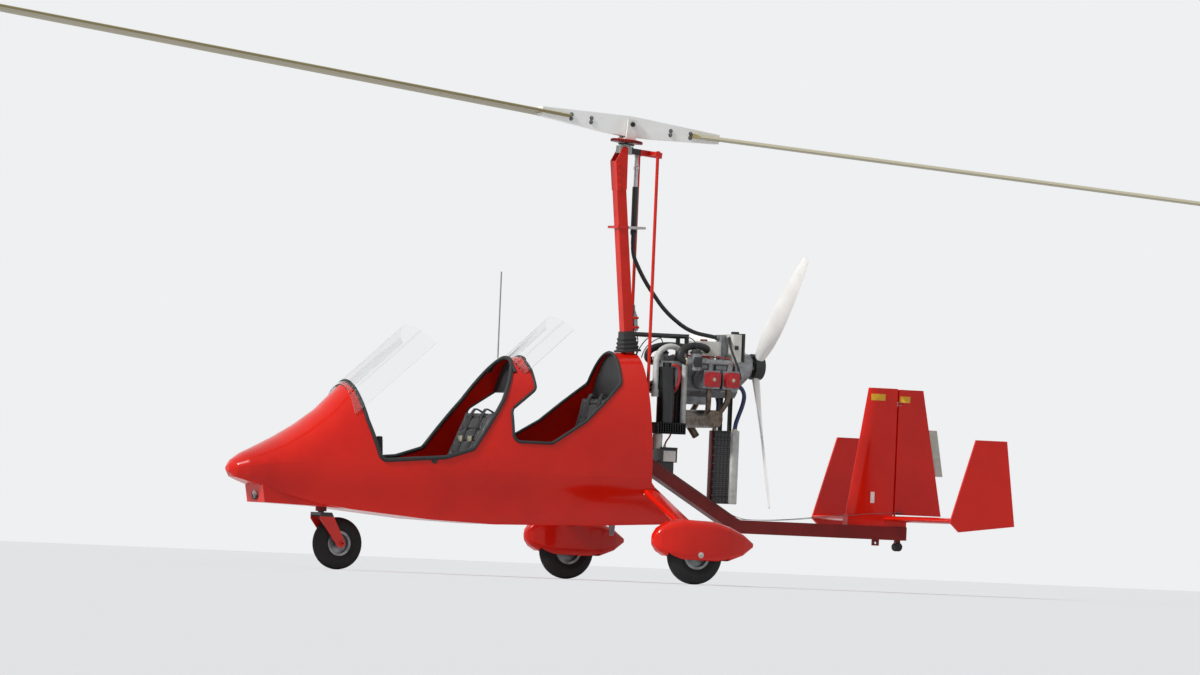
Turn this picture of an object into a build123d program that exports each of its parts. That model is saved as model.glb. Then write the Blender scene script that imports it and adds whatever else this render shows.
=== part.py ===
from build123d import *
from math import cos, radians, sin, tan
import os

# Sizes are in millimetres and degrees. +X runs aft, +Y to starboard and +Z up.
# The origin is on the ground, straight below the rotor hub.
NOSE_X = -2470.0

# Clearances
RUN_GAP = 0.3
SLOT_GAP = 3.0
SIDE_GAP = 1.0

# Fuselage pod: a moulded shell, widest at its belt line
POD_WALL = 6.0
BELT_Z = 600.0
SIDE_BULGE = 0.09
OVERCUT = 20.0
FAR_Y = 500.0
POD_SECTIONS = (
    # aft of nose, keel height, keel half width, belt height, belt half width, crest height
    (0.0, 534.0, 12.0, 550.0, 26.0, 568.0),
    (30.0, 505.0, 42.0, 558.0, 75.0, 606.0),
    (90.0, 486.0, 72.0, 573.0, 122.0, 646.0),
    (175.0, 462.0, 100.0, 586.0, 165.0, 686.0),
    (300.0, 424.0, 125.0, 596.0, 202.0, 750.0),
    (430.0, 390.0, 150.0, BELT_Z, 228.0, 828.0),
    (560.0, 366.0, 170.0, BELT_Z, 250.0, 922.0),
    (720.0, 346.0, 190.0, BELT_Z, 275.0, 1080.0),
    (1200.0, 308.0, 217.0, BELT_Z, 335.0, 1205.0),
    (1600.0, 296.0, 225.0, BELT_Z, 350.0, 1245.0),
    (2250.0, 314.0, 210.0, BELT_Z, 335.0, 1318.0),
    (2565.0, 331.0, 196.0, BELT_Z, 306.0, 1325.0),
    (2800.0, 343.0, 172.0, BELT_Z, 272.0, 1310.0),
)
POD_REAR = 2565.0
POD_TAIL = 2780.0
TAIL_CUT_Z = 578.0
NOSE_COWL_END = 1320.0
HUMP_END = 1720.0
RIM_RADIUS = 45.0
# The cockpit rims in side view: aft of nose, height
FRONT_RIM = (
    (720.0, 1700.0),
    (720.0, 1080.0),
    (762.0, 860.0),
    (838.0, 634.0),
    (1225.0, 668.0),
    (1395.0, 722.0),
    (1604.0, 1010.0),
    (1740.0, 1254.0),
    (1740.0, 1700.0),
)
REAR_RIM = (
    (1832.0, 1700.0),
    (1826.0, 1085.0),
    (1650.0, 960.0),
    (1650.0, 776.0),
    (1900.0, 776.0),
    (2126.0, 912.0),
    (2385.0, 1140.0),
    (2410.0, 1330.0),
    (2410.0, 1700.0),
)

# Windscreens
SCREEN_SKIRT = 140.0
SCREEN_AHEAD = 25.0
SCREEN_THICK = 3.0
SCREENS = (
    # part, base aft of the nose and height, top aft of the nose and height, sheet radius, half angle
    ("front_screen", 712.0, 1084.0, 1096.0, 1418.0, 250.0, 62.0),
    ("rear_screen", 1742.0, 1262.0, 2022.0, 1510.0, 220.0, 55.0),
)
WHIP_AFT = 1690.0
WHIP_LENGTH = 500.0
WHIP_RADIUS = 4.0
BLADE_AERIAL = ((2450.0, 345.0), (2494.0, 345.0), (2486.0, 262.0), (2462.0, 262.0))

# Chin box under the nose, round the steering post
CHIN_HALF = 118.0
CHIN_OUTLINE = ((172.0, 540.0), (172.0, 470.0), (190.0, 366.0), (575.0, 356.0), (760.0, 346.0), (760.0, 540.0))
LAMP_RADIUS = 36.0
LAMP_Z = 418.0
LAMP_PROUD = 8.0
LAMP_DEPTH = 46.0

# Cockpit floor, keel tube and bulkheads inside the pod
KEEL_SIDE = 60.0
KEEL_Z = 405.0
KEEL_FRONT = 640.0
FLOOR_THICK = 6.0
FLOOR_FRONT = 480.0
BULKHEAD_AFT = 2425.0

# Mast: square tube that leans forward
TUBE_WALL = 3.0
MAST_SIDE = 60.0
MAST_FOOT = (2626.0, 375.0)
MAST_LEAN = 5.96
MAST_TOP_Z = 2434.0

# Tail boom: square tube from the mast down to the keel line
BOOM_SIDE = 78.0
BOOM_Z = 346.0
BOOM_BEND = 3275.0
BOOM_ROOT_Z = 735.0
STAB_LEAD = 4230.0
BOOM_END = STAB_LEAD + 160.0
LUG_AHEAD = 185.0
LUG_THICK = 12.0
LUG_BORE = 8.0
LUG_HALF = 22.0
LUG_DROP = 36.0
BUMPER_AHEAD = 40.0
BUMPER_Z = 268.0
BUMPER_RADIUS = 24.0

# Rotor
HUB_Z = 2626.0
SHAFT_TILT = 5.2
CONING = 1.5
ROTOR_RADIUS = 4115.0
BLADE_CHORD = 220.0
BLADE_THICK = 26.0
BLADE_PITCH = 2.8
BLADE_ROOT = 400.0
HUB_BAR_HALF = 580.0
HUB_BAR_WIDTH = 64.0
HUB_BAR_HEIGHT = 120.0
CUFF_HEIGHT = 54.0
TEETER_UP = 20.0
TEETER_BOLT = 8.0
TEETER_GAP = 5.0
HUB_BAR_LIFT = 8.0
TOWER_WALL = 12.0
TOWER_FLOOR = -74.0
RING_RADIUS = 94.0
RING_THICK = 12.0
RING_TEETH = 48
TOOTH_DEPTH = 5.0
SPINDLE_RADIUS = 10.0

# Head block, which pitches on the mast's cheek plates
PIVOT_AHEAD = 20.0
PIVOT_DOWN = 130.0
PIVOT_RADIUS = 8.0
HEAD_HEIGHT = 44.0
HEAD_FRONT = 28.0
HEAD_BACK = 54.0
HOUSING_RADIUS = 44.0
HOUSING_THICK = 10.0
RING_GAP = 6.0
TORQUE_BAR = 34.0
TORQUE_REACH = 252.0
ARM_AFT = 170.0
ARM_SIDE = 22.0
CHEEK_THICK = 8.0
CHEEK_LENGTH = 230.0
CHEEK_BOSS = 18.0

# Push rods from the head down to the cockpit controls
ROD_Y = 120.0
ROD_RADIUS = 9.5
ROD_PIN = 6.0
ROD_FOOT_Z = 700.0
ROD_EYE = 15.0
ROD_EYE_WIDTH = 20.0

# Spin-up drive beside the mast
SPIN_X = 93.0
SPIN_Y = 60.0
PINION_RADIUS = 13.0
PINION_TOP = 2495.0
PINION_HEIGHT = 34.0
SPLINE_RADIUS = 7.0
SLEEVE_RADIUS = 17.5
SLEEVE_TOP = 2290.0
SLEEVE_FOOT = 2010.0
CLAMP_Z = 2050.0
CLAMP_THICK = 14.0
FLEX_RADIUS = 12.0
# Route of the flexible shaft from the sleeve to the engine's top drive
DRIVE_NOSE_X = 628.0
DRIVE_NOSE_Z = 1440.0
FLEX_ROUTE = ((SPIN_X, SPIN_Y, SLEEVE_FOOT), (SPIN_X, SPIN_Y, 1895.0), (172.0, 55.0, 1752.0),
              (312.0, 42.0, 1574.0), (462.0, 18.0, 1466.0), (DRIVE_NOSE_X, 0.0, DRIVE_NOSE_Z))

# Engine: flat four, driving the propeller through a reduction gearbox
CRANK_Z = 1190.0
CASE_FRONT = 2790.0
CASE_LENGTH = 410.0
CASE_HALF = 105.0
CASE_HEIGHT = 200.0
CASE_CHAMFER = 34.0
CASE_TOP = CRANK_Z + CASE_HEIGHT / 2
CASE_FOOT = CRANK_Z - CASE_HEIGHT / 2
CYLINDER_AFT = (CASE_FRONT + 168.0, CASE_FRONT + 293.0)
CYLINDER_STAGGER = 26.0
BARREL_RADIUS = 50.0
FIN_RADIUS = 60.0
FIN_COUNT = 6
FIN_THICK = 4.0
FIN_PITCH = 13.0
HEAD_LENGTH = 60.0
HEAD_SIDE = 106.0
COVER_LENGTH = 30.0
COVER_HALF = 44.0
COVER_ROUND = 18.0
GEARBOX_LENGTH = 110.0
GEARBOX_RADIUS = 110.0
GEARBOX_NOSE = 72.0
GEARBOX_RISE = 20.0
PROP_SHAFT_RADIUS = 22.0
PROP_Z = 1280.0
PROP_AFT = 3366.0
FLYWHEEL_RADIUS = 62.0
FLYWHEEL_DEPTH = 38.0
DRIVE_NOSE_RADIUS = 16.0
BOX_ROUND = 12.0
ENGINE_BOXES = (
    # part, front and back aft of the case front, half width, foot, top, round of its long edges
    ("airbox", 155.0, 308.0, 88.0, CASE_TOP + 40.0, CASE_TOP + 124.0, 22.0),
    ("airbox_neck", 180.0, 285.0, 50.0, CASE_TOP, CASE_TOP + 45.0, BOX_ROUND),
    ("coolant_tank", 382.0, 450.0, 68.0, CASE_TOP, CASE_TOP + 172.0, BOX_ROUND),
    ("coolant_tank_bracket", 453.0, 467.0, 72.0, CASE_TOP, CASE_TOP + 178.0, BOX_ROUND),
    ("spin_up_gearbox", 322.0, 368.0, 28.0, CASE_TOP, CASE_TOP + 166.0, BOX_ROUND),
    ("sump", 60.0, 250.0, 62.0, CASE_FOOT - 45.0, CASE_FOOT, BOX_ROUND),
)

# Carburettors, one each side, feeding the cylinder heads through a pipe
CARB_AFT = CASE_FRONT + 75.0
CARB_Z = CRANK_Z + 100.0
CARB_THROAT = 24.0
CARB_BODY = 33.0
CARB_RISE = 48.0
CARB_DROP = 52.0
CARB_HALF = 34.0
INTAKE_RADIUS = 17.0

# Engine mount bars
MOUNT_RADIUS = 13.0
MOUNT_TOP_Z = CASE_TOP + 145.0
MOUNT_LOW_Z = CRANK_Z - 70.0
MOUNT_STRUT_AFT = CASE_FRONT + 90.0
MOUNT_TOP_HALF = 55.0
MOUNT_LOW_HALF = 45.0
MOUNT_MAST_HALF = 18.0

# Oil tank on the port side ahead of the engine, with its cooler below and a thick hose over it
TANK_AFT = CASE_FRONT - 68.0
TANK_Y = 128.0
TANK_RADIUS = 52.0
TANK_TOP = CRANK_Z + 62.0
TANK_NECK = 26.0
COOLER_TOP = CRANK_Z - 260.0
COOLER_FOOT = CRANK_Z - 325.0
COOLER_LENGTH = 190.0
COOLER_HALF = 62.0
COOLER_FINS = 12
COOLER_CORE = 44.0
HOSE_RADIUS = 17.0
HOSE_ARCH = 94.0
HOSE_ARCH_Z = CRANK_Z + 88.0
HOSE_FOOT_Z = CRANK_Z - 92.0
UNION_RADIUS = 21.0

# Exhaust
SILENCER_Z = 962.0
SILENCER_AFT = 3000.0
SILENCER_RADIUS = 52.0
SILENCER_HALF = 220.0
SILENCER_WALL = 2.0
OUTLET_RADIUS = 22.0
OUTLET_REACH = 75.0
OUTLET_DROP = 100.0
HEADER_RADIUS = 16.0
HEADER_DROP = 70.0
HEADER_LEAN = 25.6
HEADER_INWARD = 41.0

# Radiator, hung below the engine
RADIATOR_AFT = 3180.0
RADIATOR_THICK = 36.0
RADIATOR_HALF = 150.0
RADIATOR_FOOT = 475.0
RADIATOR_TOP = 900.0
RADIATOR_TANK = 26.0
RADIATOR_BARS = 9
STRAP_Y = 60.0
STRAP_HALF = 12.0

# Battery on the boom's root
BATTERY_FRONT = 2738.0
BATTERY_LENGTH = 104.0
BATTERY_HALF = 70.0
BATTERY_FOOT = 701.0
BATTERY_TOP = 786.0
TRAY_HALF = 30.0

# Propeller
PROP_RADIUS = 855.0
PROP_BLADES = 3
PROP_FIRST = 43.0
PROP_HUB_RADIUS = 75.0
PROP_HUB_LENGTH = 60.0
PROP_STATIONS = (
    # share of the radius, chord, thickness, angle from the disc
    (0.085, 60.0, 40.0, 60.0),
    (0.25, 100.0, 26.0, 42.0),
    (0.55, 112.0, 15.0, 26.0),
    (0.85, 84.0, 9.0, 18.0),
    (1.0, 52.0, 5.0, 15.0),
)

# Main gear
MAIN_AFT = 2595.0
MAIN_TRACK = 1640.0
MAIN_RADIUS = 170.0
MAIN_WIDTH = 104.0
MAIN_RIM = 78.0
AXLE_RADIUS = 12.0
HUB_RADIUS = 26.0
LEG_CHORD = 110.0
LEG_THICK = 34.0
LEG_ROOT = (2560.0, 628.0)
LEG_END_Z = 322.0
KNUCKLE_THICK = 15.0
KNUCKLE_GAP = 3.0
KNUCKLE_HALF = 26.0
CARRIER_HALF = 60.0

# Spats
SPAT_HALF = 82.0
SPAT_WALL = 5.0
WELL_GAP = 25.0
WELL_SIDE = 8.0
SPAT_SECTIONS = (
    # aft of the axle, half width, foot height, top height
    (-278.0, 10.0, 236.0, 258.0),
    (-268.0, 26.0, 212.0, 284.0),
    (-240.0, 47.0, 182.0, 319.0),
    (-182.0, 68.0, 151.0, 352.0),
    (-105.0, SPAT_HALF, 134.0, 372.0),
    (110.0, SPAT_HALF, 130.0, 364.0),
    (205.0, 70.0, 142.0, 338.0),
    (300.0, 42.0, 176.0, 298.0),
    (372.0, 10.0, 226.0, 250.0),
)

# Nose gear
NOSE_WHEEL_AFT = 714.0
NOSE_RADIUS = 150.0
NOSE_WIDTH = 92.0
NOSE_RIM = 66.0
KINGPIN_AFT = 604.0
POST_RADIUS = 18.0
POST_TOP_Z = 560.0
FORK_HALF = 58.0
FORK_THICK = 8.0
CROWN_Z = 306.0
CROWN_THICK = 18.0
BEARING_RADIUS = 32.0
TOW_BORE = 6.0

# Tail surfaces
STAB_Z = 430.0
STAB_SPAN = 1700.0
STAB_CHORD = 370.0
STAB_THICK = 36.0
RAIL_HALF = 30.0
FIN_THICKNESS = 44.0
FIN_TOP_Z = 1194.0
FIN_ROOT_AHEAD = 230.0
FIN_TOP_AHEAD = 110.0
HINGE_BACK = 88.0
HINGE_AFT = STAB_LEAD + HINGE_BACK
RUDDER_GAP = 14.0
RUDDER_HALF = 18.0
RUDDER_TOP_Z = 1190.0
RUDDER_ROOT_CHORD = 314.0
RUDDER_TOP_CHORD = 164.0
RUDDER_PIN = 6.0
TRIM_THICK = 3.0
END_PLATE_THICK = 14.0
END_PLATE_OUTLINE = (
    # aft of the stabiliser's leading edge, height
    (0.0, 420.0),
    (60.0, 366.0),
    (424.0, 412.0),
    (354.0, 905.0),
    (150.0, 905.0),
)
# The trim tab stands in the rudder's trailing edge: aft of the stabiliser's leading edge, height
TRIM_OUTLINE = ((335.0, 690.0), (404.0, 690.0), (354.0, 960.0), (280.0, 960.0))
GUDGEON_Z = 1100.0
GUDGEON_THICK = 12.0
GUDGEON_RADIUS = 12.0
MOVE_GAP = 5.0
PIN_REACH = 20.0

# Pieces that make one part, or like pieces that are listed together
JOINED = (
    # part, its pieces
    ("mast", ("mast", "mast_cheeks", "head_bolt")),
    ("whip_antenna", ("whip_antenna", "blade_aerial")),
    ("head_block", ("head_block", "torque_bar", "push_rod_arms")),
    ("rotor_spindle", ("rotor_spindle", "spin_up_ring")),
    ("teeter_tower", ("teeter_tower", "teeter_bolt")),
    ("spin_up_sleeve", ("spin_up_sleeve", "spin_up_spline", "spin_up_clamp")),
    ("instrument_panels", ("instrument_panel_front", "instrument_panel_rear")),
    ("windscreens", ("front_screen", "rear_screen")),
    ("cockpit_floor", ("cockpit_floor", "seat_base_front", "seat_base_rear")),
    ("seat_cushions", ("seat_cushion_front", "seat_cushion_rear")),
    ("seat_backs", ("seat_back_front", "seat_back_rear")),
    ("cockpit_controls", ("sticks", "rudder_pedals")),
    ("keel_tube", ("keel_tube", "steering_bearing")),
    ("tail_boom", ("tail_boom", "tail_bumper", "tie_down_lug")),
    ("cylinders", ("cylinders", "cylinder_heads")),
    ("crankcase", ("crankcase", "sump", "flywheel_cover", "spin_up_gearbox")),
    ("airbox", ("airbox", "airbox_neck")),
    ("oil_tank", ("oil_tank", "oil_tank_bracket")),
    ("oil_cooler", ("oil_cooler", "oil_cooler_strap")),
    ("engine_mount", ("engine_mount", "coolant_tank_bracket")),
    ("exhaust", ("silencer", "exhaust_pipes")),
    ("radiator", ("radiator", "radiator_straps")),
    ("battery_box", ("battery_box", "battery_tray")),
    ("main_gear_legs", ("gear_carrier", "gear_leg_left", "gear_leg_right")),
    ("wheel_spats", ("wheel_spat_left", "wheel_spat_right")),
    ("main_axles", ("main_axle_left", "main_axle_right")),
    ("nose_fork", ("nose_fork", "nose_axle")),
    ("stabiliser", ("stabiliser", "end_plates", "rudder_pintle")),
    ("fin", ("fin", "tail_rail", "rudder_gudgeon")),
)

# Cockpit controls
STICK_AFT = (980.0, 1800.0)
STICK_BASE = 30.0
STICK_HEIGHT = 220.0
PEDAL_AFT = (560.0, 1560.0)
PEDAL_Y = 80.0
PEDAL_HEIGHT = 150.0

# Seats
SEAT_WIDTH = 400.0
CUSHION_THICK = 70.0


def at(aft):
    """X of a place that is given by its distance aft of the nose."""
    return NOSE_X + aft


def box_between(low, high):
    middle = [(a + b) / 2 for a, b in zip(low, high)]
    return Pos(*middle) * Box(*[b - a for a, b in zip(low, high)])


def rod(start, end, radius, bore=0.0):
    axis = Vector(*end) - Vector(*start)
    ring = Circle(radius) - Circle(bore) if bore else Circle(radius)
    return extrude(Plane(origin=start, z_dir=axis) * ring, axis.length)


def square_tube(start, end, side, wall=0.0):
    axis = Vector(*end) - Vector(*start)
    section = Rectangle(side, side)
    if wall:
        section -= Rectangle(side - 2 * wall, side - 2 * wall)
    return extrude(Plane(origin=start, x_dir=(0, 1, 0), z_dir=axis) * section, axis.length)


def side_plate(outline, low_y, high_y):
    """A flat piece with the given outline in side view, between two Y values."""
    face = outline if isinstance(outline, Sketch) else make_face(Polyline(*outline, close=True))
    return extrude(Plane.XZ.offset(-high_y) * face, high_y - low_y)


def largest(shape):
    """The biggest solid of a shape, without the offcuts."""
    return max(shape.solids(), key=lambda solid: solid.volume)


def group(shapes):
    return Compound(children=[solid for shape in shapes for solid in shape.solids()])


def rounded_route(points):
    """Straight runs joined by the largest tangent arcs that leave a little of each run."""
    corners = [Vector(*point) for point in points]
    radii = []
    for before, here, after in zip(corners, corners[1:], corners[2:]):
        turn = (here - before).get_angle(after - here)
        shorter = min((here - before).length, (after - here).length)
        radii.append(0.45 * shorter / tan(radians(turn / 2)))
    return FilletPolyline(*corners, radius=radii)


def hose(points, radius):
    path = rounded_route(points)
    return sweep(Plane(origin=path @ 0, z_dir=path % 0) * Circle(radius), path=path)


def tub_section(aft, keel_z, keel_half, belt_z, belt_half, inset=0.0):
    """Lower half of a pod section: flat keel and bulged sides up to the belt line."""
    keel = (keel_half - inset, keel_z + inset)
    belt = (belt_half - inset, belt_z)
    run = (belt[0] - keel[0], belt[1] - keel[1])
    swell = ((keel[0] + belt[0]) / 2 + SIDE_BULGE * run[1], (keel[1] + belt[1]) / 2 - SIDE_BULGE * run[0])
    lift = OVERCUT if inset else 0.0
    outline = Curve() + [
        Line((-keel[0], keel[1]), keel),
        ThreePointArc(keel, swell, belt),
        Polyline(belt, (belt[0], belt_z + lift), (-belt[0], belt_z + lift), (-belt[0], belt_z)) if lift
        else Line(belt, (-belt[0], belt_z)),
        ThreePointArc((-belt[0], belt_z), (-swell[0], swell[1]), (-keel[0], keel[1])),
    ]
    return Plane.YZ.offset(at(aft)) * make_face(outline)


def cowl_section(aft, belt_z, belt_half, crest_z, inset=0.0):
    """Upper half of a pod section: a half ellipse that stands on the belt line."""
    half = belt_half - inset
    drop = OVERCUT if inset else 0.0
    centre = (0, belt_z)
    base = Polyline((-half, belt_z), (-half, belt_z - drop), (half, belt_z - drop), (half, belt_z)) if drop \
        else Line((-half, belt_z), (half, belt_z))
    outline = Curve() + [
        base,
        EllipticalCenterArc(centre, half, crest_z - inset - belt_z, start_angle=0, arc_size=90),
        EllipticalCenterArc(centre, half, crest_z - inset - belt_z, start_angle=90, arc_size=90),
    ]
    return Plane.YZ.offset(at(aft)) * make_face(outline)


def pod_tub_body(inset=0.0):
    rows = POD_SECTIONS[1:] if inset else POD_SECTIONS
    return loft([tub_section(*row[:5], inset) for row in rows], ruled=True)


def pod_cowl_body(inset=0.0):
    rows = POD_SECTIONS[1:] if inset else POD_SECTIONS
    return loft([cowl_section(row[0], *row[3:], inset) for row in rows], ruled=True)


def pod_crest(aft):
    """Height of the pod's top line at a place along it."""
    for low, high in zip(POD_SECTIONS, POD_SECTIONS[1:]):
        if low[0] <= aft <= high[0]:
            return low[5] + (high[5] - low[5]) * (aft - low[0]) / (high[0] - low[0])
    return POD_SECTIONS[-1][5]


def rim_cut(points):
    outline = FilletPolyline(*[(at(aft), z) for aft, z in points], radius=RIM_RADIUS, close=True)
    return side_plate(make_face(outline), -FAR_Y, FAR_Y)


def mast_x(z):
    """X of the mast's centre line at a height."""
    return at(MAST_FOOT[0]) - (z - MAST_FOOT[1]) * tan(radians(MAST_LEAN))


def leg_section(grow=0.0):
    half, thick = LEG_CHORD / 2 + grow, LEG_THICK / 2 + grow
    nose = 0.35 * half
    outline = Curve() + [
        ThreePointArc((nose - half, thick), (-half, 0), (nose - half, -thick)),
        ThreePointArc((nose - half, -thick), (half * 0.3, -thick * 0.72), (half, 0)),
        ThreePointArc((half, 0), (half * 0.3, thick * 0.72), (nose - half, thick)),
    ]
    return make_face(outline)


def main_leg(side, grow=0.0):
    """Streamlined leg from the carrier on the mast's foot out to the knuckle in the spat."""
    inner, outer = CARRIER_HALF, MAIN_TRACK / 2 - SPAT_HALF + SPAT_WALL + KNUCKLE_GAP
    start = Vector(at(LEG_ROOT[0]), side * inner, LEG_ROOT[1])
    end = Vector(at(MAIN_AFT), side * outer, LEG_END_Z)
    run = end - start
    plane = Plane(origin=start - run * 0.1, x_dir=(1, 0, 0), z_dir=run)
    leg = extrude(plane * leg_section(grow), run.length * 1.2)
    low, high = sorted((side * inner, side * outer))
    return leg & box_between((at(MAIN_AFT) - 300.0, low, 0.0), (at(MAIN_AFT) + 300.0, high, 900.0))


def fuselage():
    tub_outer, cowl_outer = pod_tub_body(), pod_cowl_body()
    tub = tub_outer - pod_tub_body(POD_WALL)
    cowl = cowl_outer - pod_cowl_body(POD_WALL) - rim_cut(FRONT_RIM) - rim_cut(REAR_RIM)
    rear = side_plate(((at(POD_REAR), 1700.0), (at(POD_REAR), TAIL_CUT_Z), (at(POD_TAIL), 340.0),
                       (at(POD_TAIL), 200.0), (at(POD_TAIL) + 300.0, 200.0), (at(POD_TAIL) + 300.0, 1700.0)),
                      -FAR_Y, FAR_Y)
    slot = MAST_SIDE / 2 + SLOT_GAP
    mast_slot = box_between((mast_x(1330.0) - slot, -slot, 1150.0), (at(POD_TAIL), slot, 1500.0))
    post = rod((at(KINGPIN_AFT), 0, 250.0), (at(KINGPIN_AFT), 0, 450.0), BEARING_RADIUS + RUN_GAP)
    tub = tub - rear - post
    for side in (-1, 1):
        tub -= main_leg(side, SLOT_GAP)
    cowl = cowl - rear - mast_slot
    for side in (-1, 1):
        cowl -= main_leg(side, SLOT_GAP)
    chin = side_plate([(at(aft), z) for aft, z in CHIN_OUTLINE], -CHIN_HALF, CHIN_HALF) - tub_outer - post
    chin = largest(chin)
    front = at(CHIN_OUTLINE[2][0])
    lamp = rod((front - LAMP_PROUD, 0, LAMP_Z), (front + LAMP_DEPTH, 0, LAMP_Z), LAMP_RADIUS)
    chin -= lamp
    aerial = side_plate([(at(aft), z) for aft, z in BLADE_AERIAL], -WHIP_RADIUS, WHIP_RADIUS) - tub_outer
    slabs = (("nose_cowl", -100.0, NOSE_COWL_END), ("cockpit_hump", NOSE_COWL_END, HUMP_END),
             ("aft_cowl", HUMP_END, 2800.0))
    pieces = {"pod_tub": tub, "chin_box": chin, "landing_lamp": lamp - tub_outer,
              "blade_aerial": min(aerial.solids(), key=lambda solid: solid.center().Z)}
    for name, start, end in slabs:
        pieces[name] = cowl & box_between((at(start), -FAR_Y, 500.0), (at(end), FAR_Y, 1500.0))
    return pieces, cowl_outer


def cabin():
    """Floor, bulkhead and panels, each cut to the inside of the shell."""
    floor_z = KEEL_Z + KEEL_SIDE / 2
    tub, cowl = pod_tub_body(POD_WALL), pod_cowl_body(POD_WALL)
    floor = tub & box_between((at(FLOOR_FRONT), -FAR_Y, floor_z), (at(BULKHEAD_AFT), FAR_Y, floor_z + FLOOR_THICK))
    floor -= rod((at(KINGPIN_AFT), 0, floor_z - 1.0), (at(KINGPIN_AFT), 0, floor_z + 10.0), BEARING_RADIUS)
    def plate(aft, thick, low_z):
        return box_between((at(aft), -FAR_Y, low_z), (at(aft) + thick, FAR_Y, 1400.0))
    bulkhead = (tub & plate(BULKHEAD_AFT, POD_WALL, floor_z)) + (cowl & plate(BULKHEAD_AFT, POD_WALL, BELT_Z))
    front_panel = (cowl & plate(740.0, 14.0, 720.0)) - rim_cut(FRONT_RIM)
    rear_panel = (cowl & plate(1790.0, 14.0, 1020.0)) - rim_cut(REAR_RIM)
    return {"cockpit_floor": floor, "rear_bulkhead": largest(bulkhead),
            "instrument_panel_front": largest(front_panel), "instrument_panel_rear": largest(rear_panel)}


def seats():
    top = KEEL_Z + KEEL_SIDE / 2 + FLOOR_THICK
    half = SEAT_WIDTH / 2
    pieces = {}
    rows = (
        # name, cushion front, cushion back, base height, backrest lean, backrest height
        ("front", 1060.0, 1400.0, 90.0, 24.0, 470.0),
        ("rear", 1880.0, 2210.0, 130.0, 14.0, 520.0),
    )
    for name, front, back, base, lean, height in rows:
        base_top = top + base
        outline = ((at(front) + 30.0, top), (at(back), top), (at(back), base_top - 15.0), (at(front), base_top))
        pieces[f"seat_base_{name}"] = side_plate(outline, -half + 20.0, half - 20.0)
        cushion = ((at(front), base_top), (at(back), base_top - 15.0), (at(back), base_top + CUSHION_THICK - 15.0),
                   (at(front), base_top + CUSHION_THICK))
        pieces[f"seat_cushion_{name}"] = side_plate(cushion, -half, half)
        run = (sin(radians(lean)) * height, cos(radians(lean)) * height)
        start = (at(back) + RUN_GAP, base_top - 10.0)
        face = (cos(radians(lean)) * CUSHION_THICK, -sin(radians(lean)) * CUSHION_THICK)
        outline = (start, (start[0] + run[0], start[1] + run[1]),
                   (start[0] + run[0] + face[0], start[1] + run[1] + face[1]), (start[0] + face[0], start[1] + face[1]))
        pieces[f"seat_back_{name}"] = side_plate(outline, -half + 10.0, half - 10.0)
    return pieces


def controls():
    top = KEEL_Z + KEEL_SIDE / 2 + FLOOR_THICK
    sticks = []
    for foot in STICK_AFT:
        x, z = at(foot), top + STICK_BASE
        stick = box_between((x - 25.0, -25.0, top), (x + 25.0, 25.0, z))
        stick += rod((x, 0, z - 2.0), (x - 20.0, 0, top + STICK_HEIGHT), 11.0)
        stick += rod((x - 20.0, 0, top + STICK_HEIGHT - 4.0), (x - 26.0, 0, top + STICK_HEIGHT + 110.0), 18.0)
        sticks.append(stick)
    pedals = []
    for aft in PEDAL_AFT:
        for y in (-PEDAL_Y, PEDAL_Y):
            x, z = at(aft), top + STICK_BASE / 2
            pedal = box_between((x - 18.0, y - 18.0, top), (x + 18.0, y + 18.0, z))
            pedal += rod((x, y, z - 2.0), (x - 30.0, y, top + PEDAL_HEIGHT), 8.0)
            pedal += rod((x - 30.0, y - 36.0, top + PEDAL_HEIGHT), (x - 30.0, y + 36.0, top + PEDAL_HEIGHT), 12.0)
            pedals.append(pedal)
    return {"sticks": group(sticks), "rudder_pedals": group(pedals)}


def screen_sheet(outer, base_aft, base_z, top_aft, top_z, radius, half_angle):
    """A clear sheet, part of a cylinder whose axis runs along the sheet's rake."""
    start = Vector(at(base_aft), 0, base_z)
    end = Vector(at(top_aft), 0, top_z)
    plane = Plane(origin=start, x_dir=(0, 1, 0), z_dir=end - start)
    upward = 1.0 if plane.y_dir.Z > 0 else -1.0
    swing = radians(half_angle)
    inner = radius - SCREEN_THICK
    edge = [(radius * sin(swing), radius * cos(swing) - radius), (inner * sin(swing), inner * cos(swing) - radius)]
    flip = lambda point, side: (side * point[0], upward * point[1])
    outline = Curve() + [
        ThreePointArc(flip(edge[0], -1), (0, 0), flip(edge[0], 1)),
        Line(flip(edge[0], 1), flip(edge[1], 1)),
        ThreePointArc(flip(edge[1], 1), (0, -upward * SCREEN_THICK), flip(edge[1], -1)),
        Line(flip(edge[1], -1), flip(edge[0], -1)),
    ]
    reach = (end - start).length
    sheet = extrude(plane.offset(-SCREEN_SKIRT) * make_face(outline), reach + SCREEN_SKIRT)
    sheet &= box_between((start.X - SCREEN_AHEAD, -FAR_Y, 0.0), (end.X + FAR_Y, FAR_Y, 2000.0))
    return largest(sheet - outer)


def boom_body(side, end_aft):
    """Square bar from the mast down to the bend and level to the tail, with a round knee."""
    bend = Vector(at(BOOM_BEND), 0, BOOM_Z)
    root = Vector(mast_x(BOOM_ROOT_Z), 0, BOOM_ROOT_Z)
    half = Vector(0, side / 2, 0)
    body = square_tube(root, bend, side) + square_tube(bend, (at(end_aft), 0, BOOM_Z), side)
    return body + rod(bend - half, bend + half, side / 2)


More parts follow.
